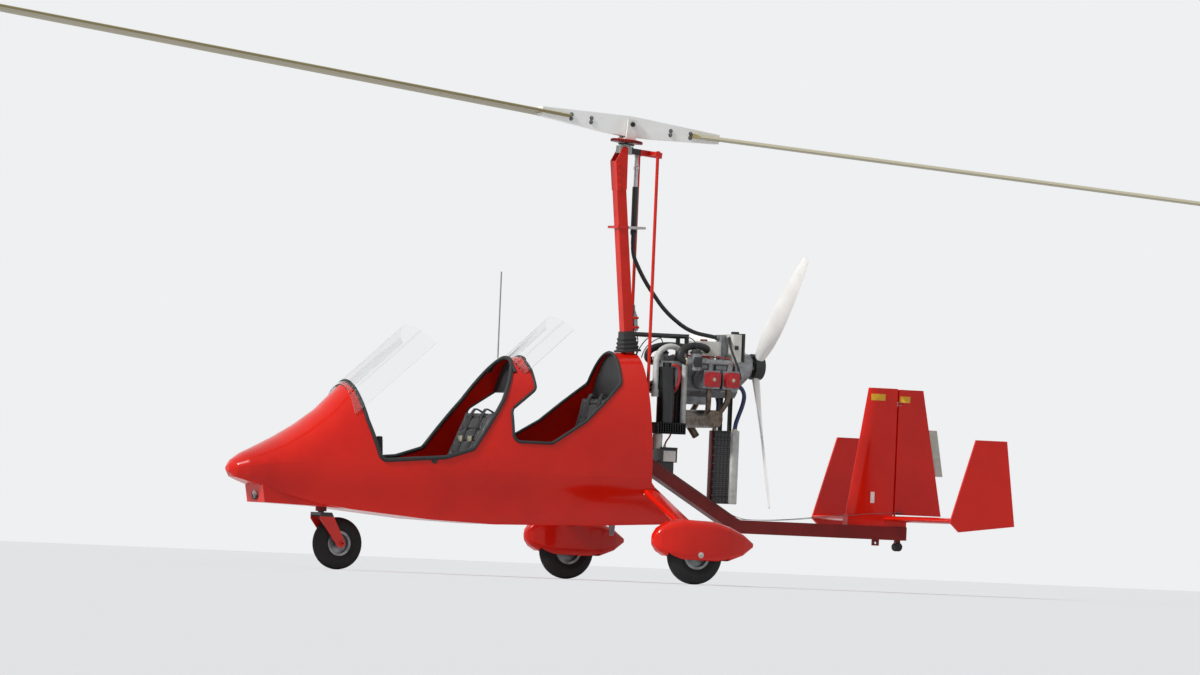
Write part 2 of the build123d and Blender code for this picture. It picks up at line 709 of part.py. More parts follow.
def structure():
    top = Vector(mast_x(MAST_TOP_Z), 0, MAST_TOP_Z)
    foot = Vector(at(MAST_FOOT[0]), 0, MAST_FOOT[1])
    mast = square_tube(foot, top, MAST_SIDE, TUBE_WALL)
    keel = box_between((at(KEEL_FRONT), -KEEL_SIDE / 2, KEEL_Z - KEEL_SIDE / 2),
                       (mast_x(KEEL_Z) - MAST_SIDE / 2 + 10.0, KEEL_SIDE / 2, KEEL_Z + KEEL_SIDE / 2))
    keel -= square_tube(foot, top, MAST_SIDE)
    hollow = box_between((at(KEEL_FRONT), TUBE_WALL - KEEL_SIDE / 2, KEEL_Z - KEEL_SIDE / 2 + TUBE_WALL),
                         (mast_x(KEEL_Z), KEEL_SIDE / 2 - TUBE_WALL, KEEL_Z + KEEL_SIDE / 2 - TUBE_WALL))
    keel = largest(keel - hollow)
    boom = boom_body(BOOM_SIDE, BOOM_END) - boom_body(BOOM_SIDE - 2 * TUBE_WALL, BOOM_END - TUBE_WALL)
    boom = largest(boom - square_tube(foot, top, MAST_SIDE))
    boom_foot = BOOM_Z - BOOM_SIDE / 2
    x = at(BOOM_END - BUMPER_AHEAD)
    bumper = box_between((x - 15.0, -12.0, BUMPER_Z), (x + 15.0, 12.0, boom_foot))
    bumper += rod((x, -20.0, BUMPER_Z), (x, 20.0, BUMPER_Z), BUMPER_RADIUS)
    x = at(BOOM_END - LUG_AHEAD)
    lug = box_between((x - LUG_HALF, -LUG_THICK / 2, boom_foot - LUG_DROP), (x + LUG_HALF, LUG_THICK / 2, boom_foot))
    lug -= rod((x, -LUG_THICK, boom_foot - 20.0), (x, LUG_THICK, boom_foot - 20.0), LUG_BORE)
    whip = rod((at(WHIP_AFT), 0, pod_crest(WHIP_AFT)), (at(WHIP_AFT), 0, pod_crest(WHIP_AFT) + WHIP_LENGTH), WHIP_RADIUS)
    return {"mast": mast, "keel_tube": keel, "tail_boom": boom, "tail_bumper": bumper,
            "tie_down_lug": lug, "whip_antenna": whip}


def hub_place():
    return Pos(0, 0, HUB_Z) * Rot(0, SHAFT_TILT, 0)


def pivot_point():
    return (hub_place() * Pos(-PIVOT_AHEAD, 0, -PIVOT_DOWN)).position


def cheek_plates():
    """Two plates on the mast's sides that carry the head's pitch bolt."""
    pivot = pivot_point()
    up = Vector(-sin(radians(MAST_LEAN)), 0, cos(radians(MAST_LEAN)))
    top = Vector(mast_x(MAST_TOP_Z), 0, MAST_TOP_Z)
    low = top - up * (CHEEK_LENGTH - 60.0)
    side = Vector(up.Z, 0, -up.X) * (MAST_SIDE / 2)
    outline = [(low - side), (top - side), (top + side), (low + side)]
    plate = make_face(Polyline(*[(point.X, point.Z) for point in outline], close=True))
    neck = make_hull((plate.edges() + (Pos(pivot.X, pivot.Z) * Circle(CHEEK_BOSS)).edges()))
    neck -= Pos(pivot.X, pivot.Z) * Circle(PIVOT_RADIUS)
    plates = [side_plate(neck, MAST_SIDE / 2, MAST_SIDE / 2 + CHEEK_THICK)]
    plates.append(mirror(plates[0], about=Plane.XZ))
    reach = MAST_SIDE / 2 + CHEEK_THICK
    bolt = rod((pivot.X, -reach - 12.0, pivot.Z), (pivot.X, reach + 12.0, pivot.Z), PIVOT_RADIUS)
    for end in (-1, 1):
        bolt += rod((pivot.X, end * reach, pivot.Z), (pivot.X, end * (reach + 8.0), pivot.Z), 13.0)
    return {"mast_cheeks": group(plates), "head_bolt": bolt}


def rotor_head():
    width = MAST_SIDE / 2 - SIDE_GAP
    low, high = -PIVOT_DOWN - HEAD_HEIGHT / 2, -PIVOT_DOWN + HEAD_HEIGHT / 2
    block = box_between((-PIVOT_AHEAD - HEAD_FRONT, -width, low), (HEAD_BACK - PIVOT_AHEAD, width, high))
    housing_top = TOWER_FLOOR - RING_THICK - RING_GAP
    block += rod((0, 0, high), (0, 0, housing_top), width - 2.0)
    block += rod((0, 0, housing_top - HOUSING_THICK), (0, 0, housing_top), HOUSING_RADIUS)
    block -= rod((-PIVOT_AHEAD, -width - 1.0, -PIVOT_DOWN), (-PIVOT_AHEAD, width + 1.0, -PIVOT_DOWN),
                 PIVOT_RADIUS + 0.1)
    block -= rod((0, 0, low - 1.0), (0, 0, TOWER_FLOOR), SPINDLE_RADIUS + 0.1)
    bar = box_between((HEAD_BACK - PIVOT_AHEAD, -TORQUE_BAR / 2, -PIVOT_DOWN - TORQUE_BAR / 2),
                      (TORQUE_REACH - PIVOT_AHEAD, TORQUE_BAR / 2, -PIVOT_DOWN + TORQUE_BAR / 2))
    arm_x = ARM_AFT - PIVOT_AHEAD
    inner = ROD_Y - ROD_EYE_WIDTH / 2 - SIDE_GAP
    arm = box_between((arm_x - ARM_SIDE / 2, -inner, -PIVOT_DOWN - ARM_SIDE / 2),
                      (arm_x + ARM_SIDE / 2, inner, -PIVOT_DOWN + ARM_SIDE / 2)) - bar
    reach = ROD_Y + ROD_EYE_WIDTH / 2 + SIDE_GAP
    arms = []
    for piece, side in zip(sorted(arm.solids(), key=lambda solid: solid.center().Y), (-1, 1)):
        pin = rod((arm_x, side * inner, -PIVOT_DOWN), (arm_x, side * reach, -PIVOT_DOWN), ROD_PIN)
        cap = rod((arm_x, side * reach, -PIVOT_DOWN), (arm_x, side * (reach + 6.0), -PIVOT_DOWN), ROD_PIN + 4.0)
        arms.append(piece + pin + cap)
    place = hub_place()
    return {"head_block": place * block, "torque_bar": place * bar, "push_rod_arms": place * group(arms)}


def push_rods():
    pin = (hub_place() * Pos(ARM_AFT - PIVOT_AHEAD, 0, -PIVOT_DOWN)).position
    rods = []
    for side in (-1, 1):
        y = side * ROD_Y
        eye = rod((pin.X, y - ROD_EYE_WIDTH / 2, pin.Z), (pin.X, y + ROD_EYE_WIDTH / 2, pin.Z), ROD_EYE)
        shank = rod((pin.X, y, pin.Z), (pin.X, y, ROD_FOOT_Z), ROD_RADIUS)
        bore = rod((pin.X, y - ROD_EYE_WIDTH, pin.Z), (pin.X, y + ROD_EYE_WIDTH, pin.Z), ROD_PIN + 0.1)
        rods.append(eye + shank - bore)
    return {"push_rods": group(rods)}


def rotor_spindle():
    half = HUB_BAR_WIDTH / 2 + TEETER_GAP
    tower_height = TEETER_UP + 26.0
    tower = box_between((-38.0, -half - TOWER_WALL, TOWER_FLOOR), (38.0, half + TOWER_WALL, TOWER_FLOOR + 12.0))
    for side in (-1, 1):
        inner, outer = sorted((side * half, side * (half + TOWER_WALL)))
        tower += box_between((-30.0, inner, TOWER_FLOOR), (30.0, outer, tower_height))
    bolt = (0, half + TOWER_WALL, TEETER_UP)
    tower -= rod((0, -bolt[1] - 1.0, TEETER_UP), (0, bolt[1] + 1.0, TEETER_UP), TEETER_BOLT)
    disc_top = TOWER_FLOOR
    gap = 360.0 / RING_TEETH
    disc = Circle(RING_RADIUS)
    for index in range(RING_TEETH):
        tooth = Pos(RING_RADIUS - TOOTH_DEPTH / 2, 0) * Rectangle(TOOTH_DEPTH, RING_RADIUS * radians(gap) * 0.5)
        disc -= Rot(0, 0, index * gap) * tooth
    ring = extrude(Pos(0, 0, disc_top - RING_THICK) * disc, RING_THICK)
    foot = -PIVOT_DOWN - HEAD_HEIGHT / 2
    spindle = rod((0, 0, disc_top - RING_THICK), (0, 0, foot - 20.0), SPINDLE_RADIUS)
    spindle += rod((0, 0, foot - SIDE_GAP), (0, 0, foot - 16.0), SPINDLE_RADIUS + 7.0)
    teeter = rod((0, -bolt[1] - 10.0, TEETER_UP), (0, bolt[1] + 10.0, TEETER_UP), TEETER_BOLT)
    for side in (-1, 1):
        teeter += rod((0, side * bolt[1], TEETER_UP), (0, side * (bolt[1] + 9.0), TEETER_UP), TEETER_BOLT + 6.0)
    place = hub_place()
    return {"teeter_tower": place * tower, "spin_up_ring": place * ring, "rotor_spindle": place * spindle,
            "teeter_bolt": place * teeter}


def blade_section():
    """Rotor blade section, nose towards +X of the sketch, quarter chord at the origin."""
    nose, tail = 0.25 * BLADE_CHORD, -0.75 * BLADE_CHORD
    up, down = 0.62 * BLADE_THICK, -0.38 * BLADE_THICK
    shoulder = nose - 0.4 * BLADE_THICK
    outline = Curve() + [
        Line((tail, down * 0.4), (tail, down * 0.4 + 2.0)),
        ThreePointArc((tail, down * 0.4 + 2.0), (-0.1 * BLADE_CHORD, up), (shoulder, up * 0.55)),
        ThreePointArc((shoulder, up * 0.55), (nose, 0), (shoulder, down * 0.75)),
        ThreePointArc((shoulder, down * 0.75), (0, down), (tail, down * 0.4)),
    ]
    return make_face(outline)


def rotor():
    section = Rot(0, 0, BLADE_PITCH) * blade_section()
    blade = extrude(Plane(origin=(BLADE_ROOT, 0, 0), x_dir=(0, 1, 0), z_dir=(1, 0, 0)) * section,
                    ROTOR_RADIUS - BLADE_ROOT)
    blade = Rot(0, -CONING, 0) * blade
    blades = [blade, Rot(0, 0, 180) * blade]
    rise = HUB_BAR_HALF * tan(radians(CONING))
    shoulder = 150.0
    half_high, half_cuff = HUB_BAR_HEIGHT / 2, CUFF_HEIGHT / 2
    high, low = HUB_BAR_LIFT + half_high, HUB_BAR_LIFT - half_high
    right = ((0, high), (shoulder, high - 6.0), (HUB_BAR_HALF, rise + half_cuff),
             (HUB_BAR_HALF, rise - half_cuff), (shoulder, low + 6.0), (0, low))
    left = tuple((-x, z) for x, z in reversed(right[1:-1]))
    bar = side_plate(right + left, -HUB_BAR_WIDTH / 2, HUB_BAR_WIDTH / 2)
    bar -= rod((0, -HUB_BAR_WIDTH, TEETER_UP), (0, HUB_BAR_WIDTH, TEETER_UP), TEETER_BOLT + 0.1)
    for blade in blades:
        bar -= blade
    place = hub_place()
    return {"hub_bar": place * bar, "rotor_blades": place * group(blades)}


def spin_up_drive():
    spline = rod((SPIN_X, SPIN_Y, PINION_TOP), (SPIN_X, SPIN_Y, SLEEVE_TOP), SPLINE_RADIUS)
    spline += rod((SPIN_X, SPIN_Y, PINION_TOP), (SPIN_X, SPIN_Y, PINION_TOP - PINION_HEIGHT), PINION_RADIUS)
    sleeve = rod((SPIN_X, SPIN_Y, SLEEVE_TOP), (SPIN_X, SPIN_Y, SLEEVE_FOOT), SLEEVE_RADIUS)
    face = mast_x(CLAMP_Z) + MAST_SIDE / 2
    clamp = box_between((face - MAST_SIDE - 12.0, -MAST_SIDE / 2 - 8.0, CLAMP_Z - CLAMP_THICK / 2),
                        (SPIN_X + SLEEVE_RADIUS + 12.0, SPIN_Y + SLEEVE_RADIUS + 12.0, CLAMP_Z + CLAMP_THICK / 2))
    clamp -= square_tube((at(MAST_FOOT[0]), 0, MAST_FOOT[1]), (mast_x(MAST_TOP_Z), 0, MAST_TOP_Z), MAST_SIDE)
    clamp -= sleeve
    clamp = largest(clamp)
    past_end = (DRIVE_NOSE_X, -4 * FLEX_RADIUS, DRIVE_NOSE_Z - 4 * FLEX_RADIUS)
    flex = hose(FLEX_ROUTE, FLEX_RADIUS)
    flex -= box_between(past_end, (DRIVE_NOSE_X + 4 * FLEX_RADIUS, 4 * FLEX_RADIUS, DRIVE_NOSE_Z + 4 * FLEX_RADIUS))
    return {"spin_up_spline": spline, "spin_up_sleeve": sleeve, "spin_up_clamp": clamp, "spin_up_flex_shaft": flex}


def finned_cylinder(side, aft):
    x = cylinder_x(side, aft)
    start = side * CASE_HALF
    length = FIN_COUNT * FIN_PITCH
    barrel = rod((x, start, CRANK_Z), (x, start + side * length, CRANK_Z), BARREL_RADIUS)
    for index in range(FIN_COUNT):
        y = start + side * (index * FIN_PITCH + FIN_PITCH - FIN_THICK)
        barrel += rod((x, y, CRANK_Z), (x, y + side * FIN_THICK, CRANK_Z), FIN_RADIUS)
    low, high = sorted((start + side * length, start + side * (length + HEAD_LENGTH)))
    head = box_between((x - HEAD_SIDE / 2, low, CRANK_Z - HEAD_SIDE / 2), (x + HEAD_SIDE / 2, high, CRANK_Z + HEAD_SIDE / 2))
    low, high = sorted((start + side * (length + HEAD_LENGTH), start + side * (length + HEAD_LENGTH + COVER_LENGTH)))
    cover = box_between((x - COVER_HALF, low, CRANK_Z - COVER_HALF), (x + COVER_HALF, high, CRANK_Z + COVER_HALF))
    cover = fillet(cover.edges().filter_by(Axis.Y), COVER_ROUND)
    return barrel, head, cover


def cylinder_x(side, aft):
    """The starboard cylinders sit a crank throw further aft."""
    return at(aft) + (CYLINDER_STAGGER if side > 0 else 0.0)


def port_y():
    """How far out the middle of a cylinder head lies."""
    return CASE_HALF + FIN_COUNT * FIN_PITCH + HEAD_LENGTH / 2


def crankcase_body():
    case = box_between((at(CASE_FRONT), -CASE_HALF, CASE_FOOT), (at(CASE_FRONT) + CASE_LENGTH, CASE_HALF, CASE_TOP))
    return chamfer(case.edges().filter_by(Axis.X), CASE_CHAMFER)


def engine_box(front, back, half, foot, top, edge_round):
    body = box_between((at(CASE_FRONT + front), -half, foot), (at(CASE_FRONT + back), half, top))
    reach = min(edge_round, 0.45 * (back - front), 0.45 * (top - foot))
    return fillet(body.edges().filter_by(Axis.Z), reach)


def engine_block():
    """Crankcase, cylinders, gearbox and the boxes that stand on them."""
    front, back = at(CASE_FRONT), at(CASE_FRONT) + CASE_LENGTH
    case = crankcase_body()
    barrels, heads, covers = [], [], []
    for side in (-1, 1):
        for aft in CYLINDER_AFT:
            barrel, head, cover = finned_cylinder(side, aft)
            barrels.append(barrel)
            heads.append(head)
            covers.append(cover)
    gearbox = loft([
        Plane.YZ.offset(back) * Pos(0, CRANK_Z + GEARBOX_RISE) * Circle(GEARBOX_RADIUS),
        Plane.YZ.offset(back + GEARBOX_LENGTH) * Pos(0, PROP_Z) * Circle(GEARBOX_NOSE),
    ])
    flange_end = at(PROP_AFT) - PROP_HUB_LENGTH / 2
    shaft = rod((back + GEARBOX_LENGTH, 0, PROP_Z), (flange_end - SIDE_GAP, 0, PROP_Z), PROP_SHAFT_RADIUS)
    pieces = {name: engine_box(*row) - gearbox - case for name, *row in ENGINE_BOXES}
    pieces = {name: largest(shape) for name, shape in pieces.items()}
    pieces["airbox_neck"] -= pieces["airbox"]
    pedestal = pieces["spin_up_gearbox"]
    pedestal += rod((DRIVE_NOSE_X, 0, DRIVE_NOSE_Z), (pedestal.center().X, 0, DRIVE_NOSE_Z), DRIVE_NOSE_RADIUS)
    pieces["spin_up_gearbox"] = pedestal
    pieces["flywheel_cover"] = rod((front - FLYWHEEL_DEPTH, 0, CRANK_Z), (front, 0, CRANK_Z), FLYWHEEL_RADIUS)
    pieces.update({"crankcase": case, "cylinders": group(barrels), "cylinder_heads": group(heads),
                   "rocker_covers": group(covers), "gearbox": gearbox + shaft})
    return pieces


def carburettors():
    """A carburettor each side, and the pipe that leads from it to both cylinder heads."""
    bodies, pipes = [], []
    x, head_top = at(CARB_AFT), CRANK_Z + HEAD_SIDE / 2
    for side in (-1, 1):
        y = side * port_y()
        body = rod((x, y, CARB_Z - CARB_DROP), (x, y, CARB_Z + CARB_RISE), CARB_BODY)
        body += rod((x - CARB_HALF - CARB_BODY, y, CARB_Z), (x + CARB_BODY, y, CARB_Z), CARB_THROAT)
        bodies.append(body)
        end = cylinder_x(side, CYLINDER_AFT[-1])
        pipe = rod((x, y, CARB_Z), (end + INTAKE_RADIUS, y, CARB_Z), INTAKE_RADIUS)
        for aft in CYLINDER_AFT:
            port = cylinder_x(side, aft)
            pipe += rod((port, y, head_top), (port, y, CARB_Z), INTAKE_RADIUS)
        pipes.append(largest(pipe - body))
    return {"carburettors": group(bodies), "intake_pipes": group(pipes)}


def oil_system():
    """Oil tank on its finned cooler, and the thick hose that arches over the tank."""
    x, y, half = at(TANK_AFT), -TANK_Y, COOLER_LENGTH / 2
    tank = rod((x, y, COOLER_TOP), (x, y, TANK_TOP), TANK_RADIUS) + rod((x, y, TANK_TOP), (x, y, TANK_TOP + TANK_NECK), TANK_NECK)
    arm = CASE_CHAMFER
    bracket = box_between((x, -CASE_HALF, CRANK_Z - arm), (at(CASE_FRONT), arm - CASE_HALF, CRANK_Z + arm))
    front_leg = x - TANK_RADIUS - HOSE_RADIUS - SLOT_GAP
    back_leg = front_leg + 2 * HOSE_ARCH
    middle = (front_leg + back_leg) / 2
    cooler_x = (front_leg + back_leg) / 2
    core = box_between((cooler_x - half, y - COOLER_CORE, COOLER_FOOT), (cooler_x + half, y + COOLER_CORE, COOLER_TOP))
    pitch = COOLER_LENGTH / COOLER_FINS
    for index in range(COOLER_FINS):
        low = cooler_x - half + index * pitch
        core += box_between((low, y - COOLER_HALF, COOLER_FOOT), (low + pitch / 3, y + COOLER_HALF, COOLER_TOP))
    strap = box_between((back_leg - arm, y + COOLER_CORE / 2, COOLER_TOP), (back_leg, arm - CASE_HALF + arm, CRANK_Z))
    strap = min((strap - crankcase_body()).solids(), key=lambda solid: solid.center().Z)
    path = Curve() + [
        Line((front_leg, y, HOSE_FOOT_Z), (front_leg, y, HOSE_ARCH_Z)),
        ThreePointArc((front_leg, y, HOSE_ARCH_Z), (middle, y, HOSE_ARCH_Z + HOSE_ARCH), (back_leg, y, HOSE_ARCH_Z)),
        Line((back_leg, y, HOSE_ARCH_Z), (back_leg, y, COOLER_TOP)),
    ]
    arch = sweep(Plane(origin=path @ 0, z_dir=path % 0) * Circle(HOSE_RADIUS), path=path.wires()[0])
    union = rod((front_leg, y, HOSE_FOOT_Z - UNION_RADIUS), (front_leg, y, HOSE_FOOT_Z + UNION_RADIUS), UNION_RADIUS)
    return {"oil_tank": tank, "oil_tank_bracket": largest(bracket - tank), "oil_cooler": core,
            "oil_cooler_strap": strap, "oil_hose": arch + largest(union - tank)}


def exhaust():
    """Header pipes from the four heads into one hollow can with an outlet."""
    x, y, half_can = at(SILENCER_AFT), SILENCER_HALF * 0.7, SILENCER_HALF - SILENCER_WALL
    can = rod((x, -SILENCER_HALF, SILENCER_Z), (x, SILENCER_HALF, SILENCER_Z), SILENCER_RADIUS)
    inside = rod((x, -half_can, SILENCER_Z), (x, half_can, SILENCER_Z), SILENCER_RADIUS - SILENCER_WALL)
    outlet = ((x, y, SILENCER_Z), (x + OUTLET_REACH, y, SILENCER_Z - OUTLET_DROP))
    head_foot = CRANK_Z - HEAD_SIDE / 2
    pipes = []
    for side in (-1, 1):
        for aft in CYLINDER_AFT:
            port = cylinder_x(side, aft)
            lean = HEADER_LEAN if port < x else -HEADER_LEAN
            route = ((port, side * port_y(), head_foot), (port, side * port_y(), head_foot - HEADER_DROP),
                     (x - lean, side * (port_y() - HEADER_INWARD), SILENCER_Z))
            pipes.append(largest(hose(route, HEADER_RADIUS) - can))
    can = can + rod(*outlet, OUTLET_RADIUS) - inside - rod(*outlet, OUTLET_RADIUS - SILENCER_WALL)
    return {"silencer": can, "exhaust_pipes": group(pipes)}


def radiator():
    """Core with side tanks and cross bars, hung from the crankcase on two straps."""
    x, half = at(RADIATOR_AFT), RADIATOR_THICK / 2
    body = box_between((x - half, -RADIATOR_HALF, RADIATOR_FOOT), (x + half, RADIATOR_HALF, RADIATOR_TOP))
    inner = RADIATOR_HALF - RADIATOR_TANK
    pitch = (RADIATOR_TOP - RADIATOR_FOOT) / RADIATOR_BARS
    for index in range(RADIATOR_BARS):
        low = RADIATOR_FOOT + (index + 0.1) * pitch
        for face in (x - half, x + half):
            body -= box_between((face - half / 4, -inner, low), (face + half / 4, inner, low + 0.8 * pitch))
    straps = [box_between((x - half / 2, y - STRAP_HALF, RADIATOR_TOP), (x + half / 2, y + STRAP_HALF, CASE_FOOT))
              for y in (-STRAP_Y, STRAP_Y)]
    return {"radiator": body, "radiator_straps": group(straps)}


def battery():
    front, back = at(BATTERY_FRONT), at(BATTERY_FRONT) + BATTERY_LENGTH
    box = box_between((front, -BATTERY_HALF, BATTERY_FOOT), (back, BATTERY_HALF, BATTERY_TOP))
    tray = box_between((front, -TRAY_HALF, BATTERY_FOOT - 2 * BOOM_SIDE), (back, TRAY_HALF, BATTERY_FOOT))
    tray -= square_tube((mast_x(BOOM_ROOT_Z), 0, BOOM_ROOT_Z), (at(BOOM_BEND), 0, BOOM_Z), BOOM_SIDE)
    return {"battery_box": box, "battery_tray": max(tray.solids(), key=lambda solid: solid.center().Z)}


def engine_mount():
    """Four bars from the mast to the engine, the upper pair on struts above the crankcase."""
    foot, top = (at(MAST_FOOT[0]), 0, MAST_FOOT[1]), (mast_x(MAST_TOP_Z), 0, MAST_TOP_Z)
    front = at(CASE_FRONT)
    blocks = square_tube(foot, top, MAST_SIDE) + box_between((front, -CASE_HALF, CASE_FOOT),
                                                             (front + CASE_LENGTH, CASE_HALF, CASE_TOP))
    bars = []
    for side in (-1, 1):
        inner, x, y = side * MOUNT_MAST_HALF, at(MOUNT_STRUT_AFT), side * MOUNT_TOP_HALF
        bar = rod((mast_x(MOUNT_TOP_Z), inner, MOUNT_TOP_Z), (x, y, MOUNT_TOP_Z), MOUNT_RADIUS)
        bar += rod((x, y, CASE_TOP), (x, y, MOUNT_TOP_Z + MOUNT_RADIUS), MOUNT_RADIUS)
        bars.append(largest(bar - blocks))
        bar = rod((mast_x(MOUNT_LOW_Z), inner, MOUNT_LOW_Z), (front, side * MOUNT_LOW_HALF, MOUNT_LOW_Z), MOUNT_RADIUS)
        bars.append(largest(bar - blocks))
    return {"engine_mount": group(bars)}


def propeller_blade():
    faces = []
    for share, chord, thick, angle in PROP_STATIONS:
        outline = Curve() + [
            ThreePointArc((-chord / 2, 0), (0, thick * 0.7), (chord / 2, 0)),
            ThreePointArc((chord / 2, 0), (0, -thick * 0.3), (-chord / 2, 0)),
        ]
        faces.append(Pos(0, 0, share * PROP_RADIUS) * Rot(0, 0, 90.0 + angle) * make_face(outline))
    return loft(faces)


def propeller():
    place = Pos(at(PROP_AFT), 0, PROP_Z)
    blades = [place * Rot(PROP_FIRST + index * 360.0 / PROP_BLADES, 0, 0) * propeller_blade()
              for index in range(PROP_BLADES)]
    x = at(PROP_AFT)
    hub = rod((x - PROP_HUB_LENGTH / 2, 0, PROP_Z), (x + PROP_HUB_LENGTH / 2, 0, PROP_Z), PROP_HUB_RADIUS)
    return {"propeller_hub": hub - blades[0] - blades[1] - blades[2], "propeller_blades": group(blades)}


def tyre(radius, width, rim):
    """Tyre section turned about Y, with a round tread."""
    half = width / 2
    crown, shoulder = radius, radius - 0.32 * (radius - rim)
    outline = Curve() + [
        Line((-half * 0.62, rim), (half * 0.62, rim)),
        ThreePointArc((half * 0.62, rim), (half, (rim + shoulder) / 2), (half * 0.82, shoulder)),
        ThreePointArc((half * 0.82, shoulder), (0, crown), (-half * 0.82, shoulder)),
        ThreePointArc((-half * 0.82, shoulder), (-half, (rim + shoulder) / 2), (-half * 0.62, rim)),
    ]
    return revolve(make_face(outline), Axis.X)


def wheel(centre, radius, width, rim):
    """Tyre and rim about an axle along Y."""
    turn = Pos(*centre) * Rot(0, 0, 90)
    half = width * 0.31
    web = (Pos(0, (rim + HUB_RADIUS) / 2) * Rectangle(12.0, rim - HUB_RADIUS)
           + Pos(0, rim - 5.0) * Rectangle(half * 2, 10.0)
           + Pos(0, (HUB_RADIUS + AXLE_RADIUS + 0.1) / 2) * Rectangle(half * 1.8, HUB_RADIUS - AXLE_RADIUS - 0.1))
    return turn * tyre(radius, width, rim), turn * revolve(web, Axis.X)


def spat_body(centre, inset=0.0):
    sections = []
    for along, half, foot, top in (SPAT_SECTIONS[1:-1] if inset else SPAT_SECTIONS):
        half, foot, top = half - inset, foot + inset, top - inset
        face = RectangleRounded(2 * half, top - foot, 0.3 * min(2 * half, top - foot))
        sections.append(Plane.YZ.offset(centre[0] + along) * Pos(centre[1], (top + foot) / 2) * face)
    return loft(sections, ruled=True)


def spat(side):
    """Wheel fairing, open underneath."""
    centre = (at(MAIN_AFT), side * MAIN_TRACK / 2)
    length, half = MAIN_RADIUS + WELL_GAP, MAIN_WIDTH / 2 + WELL_SIDE
    well = box_between((centre[0] - length, centre[1] - half, 0.0), (centre[0] + length, centre[1] + half, 200.0))
    return spat_body(centre) - spat_body(centre, SPAT_WALL) - well


def main_gear():
    mast = square_tube((at(MAST_FOOT[0]), 0, MAST_FOOT[1]), (mast_x(MAST_TOP_Z), 0, MAST_TOP_Z), MAST_SIDE)
    carrier = box_between((at(LEG_ROOT[0]) - 62.0, -CARRIER_HALF, LEG_ROOT[1] - 60.0),
                          (at(LEG_ROOT[0]) + 40.0, CARRIER_HALF, LEG_ROOT[1] + 40.0)) - mast
    pieces = {"gear_carrier": largest(carrier)}
    x = at(MAIN_AFT)
    for name, side in (("left", -1), ("right", 1)):
        centre_y = side * MAIN_TRACK / 2
        leg = main_leg(side)
        pieces[f"gear_leg_{name}"] = leg
        fairing = largest(spat(side) - leg)
        pieces[f"wheel_spat_{name}"] = fairing
        wall = centre_y - side * (SPAT_HALF - SPAT_WALL - KNUCKLE_GAP)
        inner = wall + side * KNUCKLE_THICK
        outer = centre_y + side * (MAIN_WIDTH * 0.31 + 6.0)
        low, high = sorted((wall, inner))
        knuckle = box_between((x - KNUCKLE_HALF, low, MAIN_RADIUS - KNUCKLE_HALF),
                              (x + KNUCKLE_HALF, high, LEG_END_Z + LEG_THICK / 2))
        knuckle &= spat_body((x, centre_y), SPAT_WALL + KNUCKLE_GAP)
        pieces[f"main_axle_{name}"] = knuckle + rod((x, inner, MAIN_RADIUS), (x, outer, MAIN_RADIUS), AXLE_RADIUS)
        tyre_piece, rim_piece = wheel((x, centre_y, MAIN_RADIUS), MAIN_RADIUS, MAIN_WIDTH, MAIN_RIM)
        pieces[f"main_tyre_{name}"] = tyre_piece
        pieces[f"main_rim_{name}"] = rim_piece
    return pieces


def nose_gear():
    x, wheel_x = at(KINGPIN_AFT), at(NOSE_WHEEL_AFT)
    housing = rod((x, 0, 330.0), (x, 0, POST_TOP_Z - 20.0), BEARING_RADIUS, POST_RADIUS + 0.1)
    housing += box_between((x + POST_RADIUS + 2.0, -KEEL_SIDE / 2, KEEL_Z - KEEL_SIDE / 2),
                           (at(KEEL_FRONT), KEEL_SIDE / 2, KEEL_Z + KEEL_SIDE / 2))
    crown_top = CROWN_Z + CROWN_THICK
    crown = box_between((x - 34.0, -FORK_HALF - FORK_THICK, CROWN_Z), (x + 40.0, FORK_HALF + FORK_THICK, crown_top))
    outline = ((x - 34.0, crown_top), (x - 34.0, CROWN_Z - 20.0), (wheel_x - 26.0, NOSE_RADIUS - 18.0),
               (wheel_x, NOSE_RADIUS - 28.0), (wheel_x + 24.0, NOSE_RADIUS), (x + 40.0, crown_top))
    fork = crown + rod((x, 0, CROWN_Z), (x, 0, POST_TOP_Z), POST_RADIUS)
    for side in (-1, 1):
        low, high = sorted((side * FORK_HALF, side * (FORK_HALF + FORK_THICK)))
        fork += side_plate(outline, low, high)
    reach = FORK_HALF + FORK_THICK
    fork -= rod((wheel_x, -reach - 1.0, NOSE_RADIUS), (wheel_x, reach + 1.0, NOSE_RADIUS), AXLE_RADIUS)
    axle = rod((wheel_x, -reach - 10.0, NOSE_RADIUS), (wheel_x, reach + 10.0, NOSE_RADIUS), AXLE_RADIUS, TOW_BORE)
    tyre_piece, rim_piece = wheel((wheel_x, 0, NOSE_RADIUS), NOSE_RADIUS, NOSE_WIDTH, NOSE_RIM)
    return {"steering_bearing": housing, "nose_fork": fork, "nose_axle": axle,
            "nose_tyre": tyre_piece, "nose_rim": rim_piece}


def surface_section(lead, tail, thick):
    """Tail surface section: round nose at lead, thin tail."""
    nose = 0.18 * (tail - lead)
    half = thick / 2
    outline = Curve() + [
        EllipticalCenterArc((lead + nose, 0), nose, half, start_angle=90, arc_size=180),
        Line((lead + nose, -half), (tail, -2.0)),
        Line((tail, -2.0), (tail, 2.0)),
        Line((tail, 2.0), (lead + nose, half)),
    ]
    return make_face(outline)


def fin_section(lead):
    """Fin section: round nose at lead, flat post face ahead of the rudder."""
    half, post = FIN_THICKNESS / 2, at(HINGE_AFT) - RUDDER_GAP
    shoulder = lead + 0.3 * (post - lead)
    outline = Curve() + [
        EllipticalCenterArc((shoulder, 0), shoulder - lead, half, start_angle=90, arc_size=180),
        Line((shoulder, -half), (post, -0.85 * half)),
        Line((post, -0.85 * half), (post, 0.85 * half)),
        Line((post, 0.85 * half), (shoulder, half)),
    ]
    return make_face(outline)


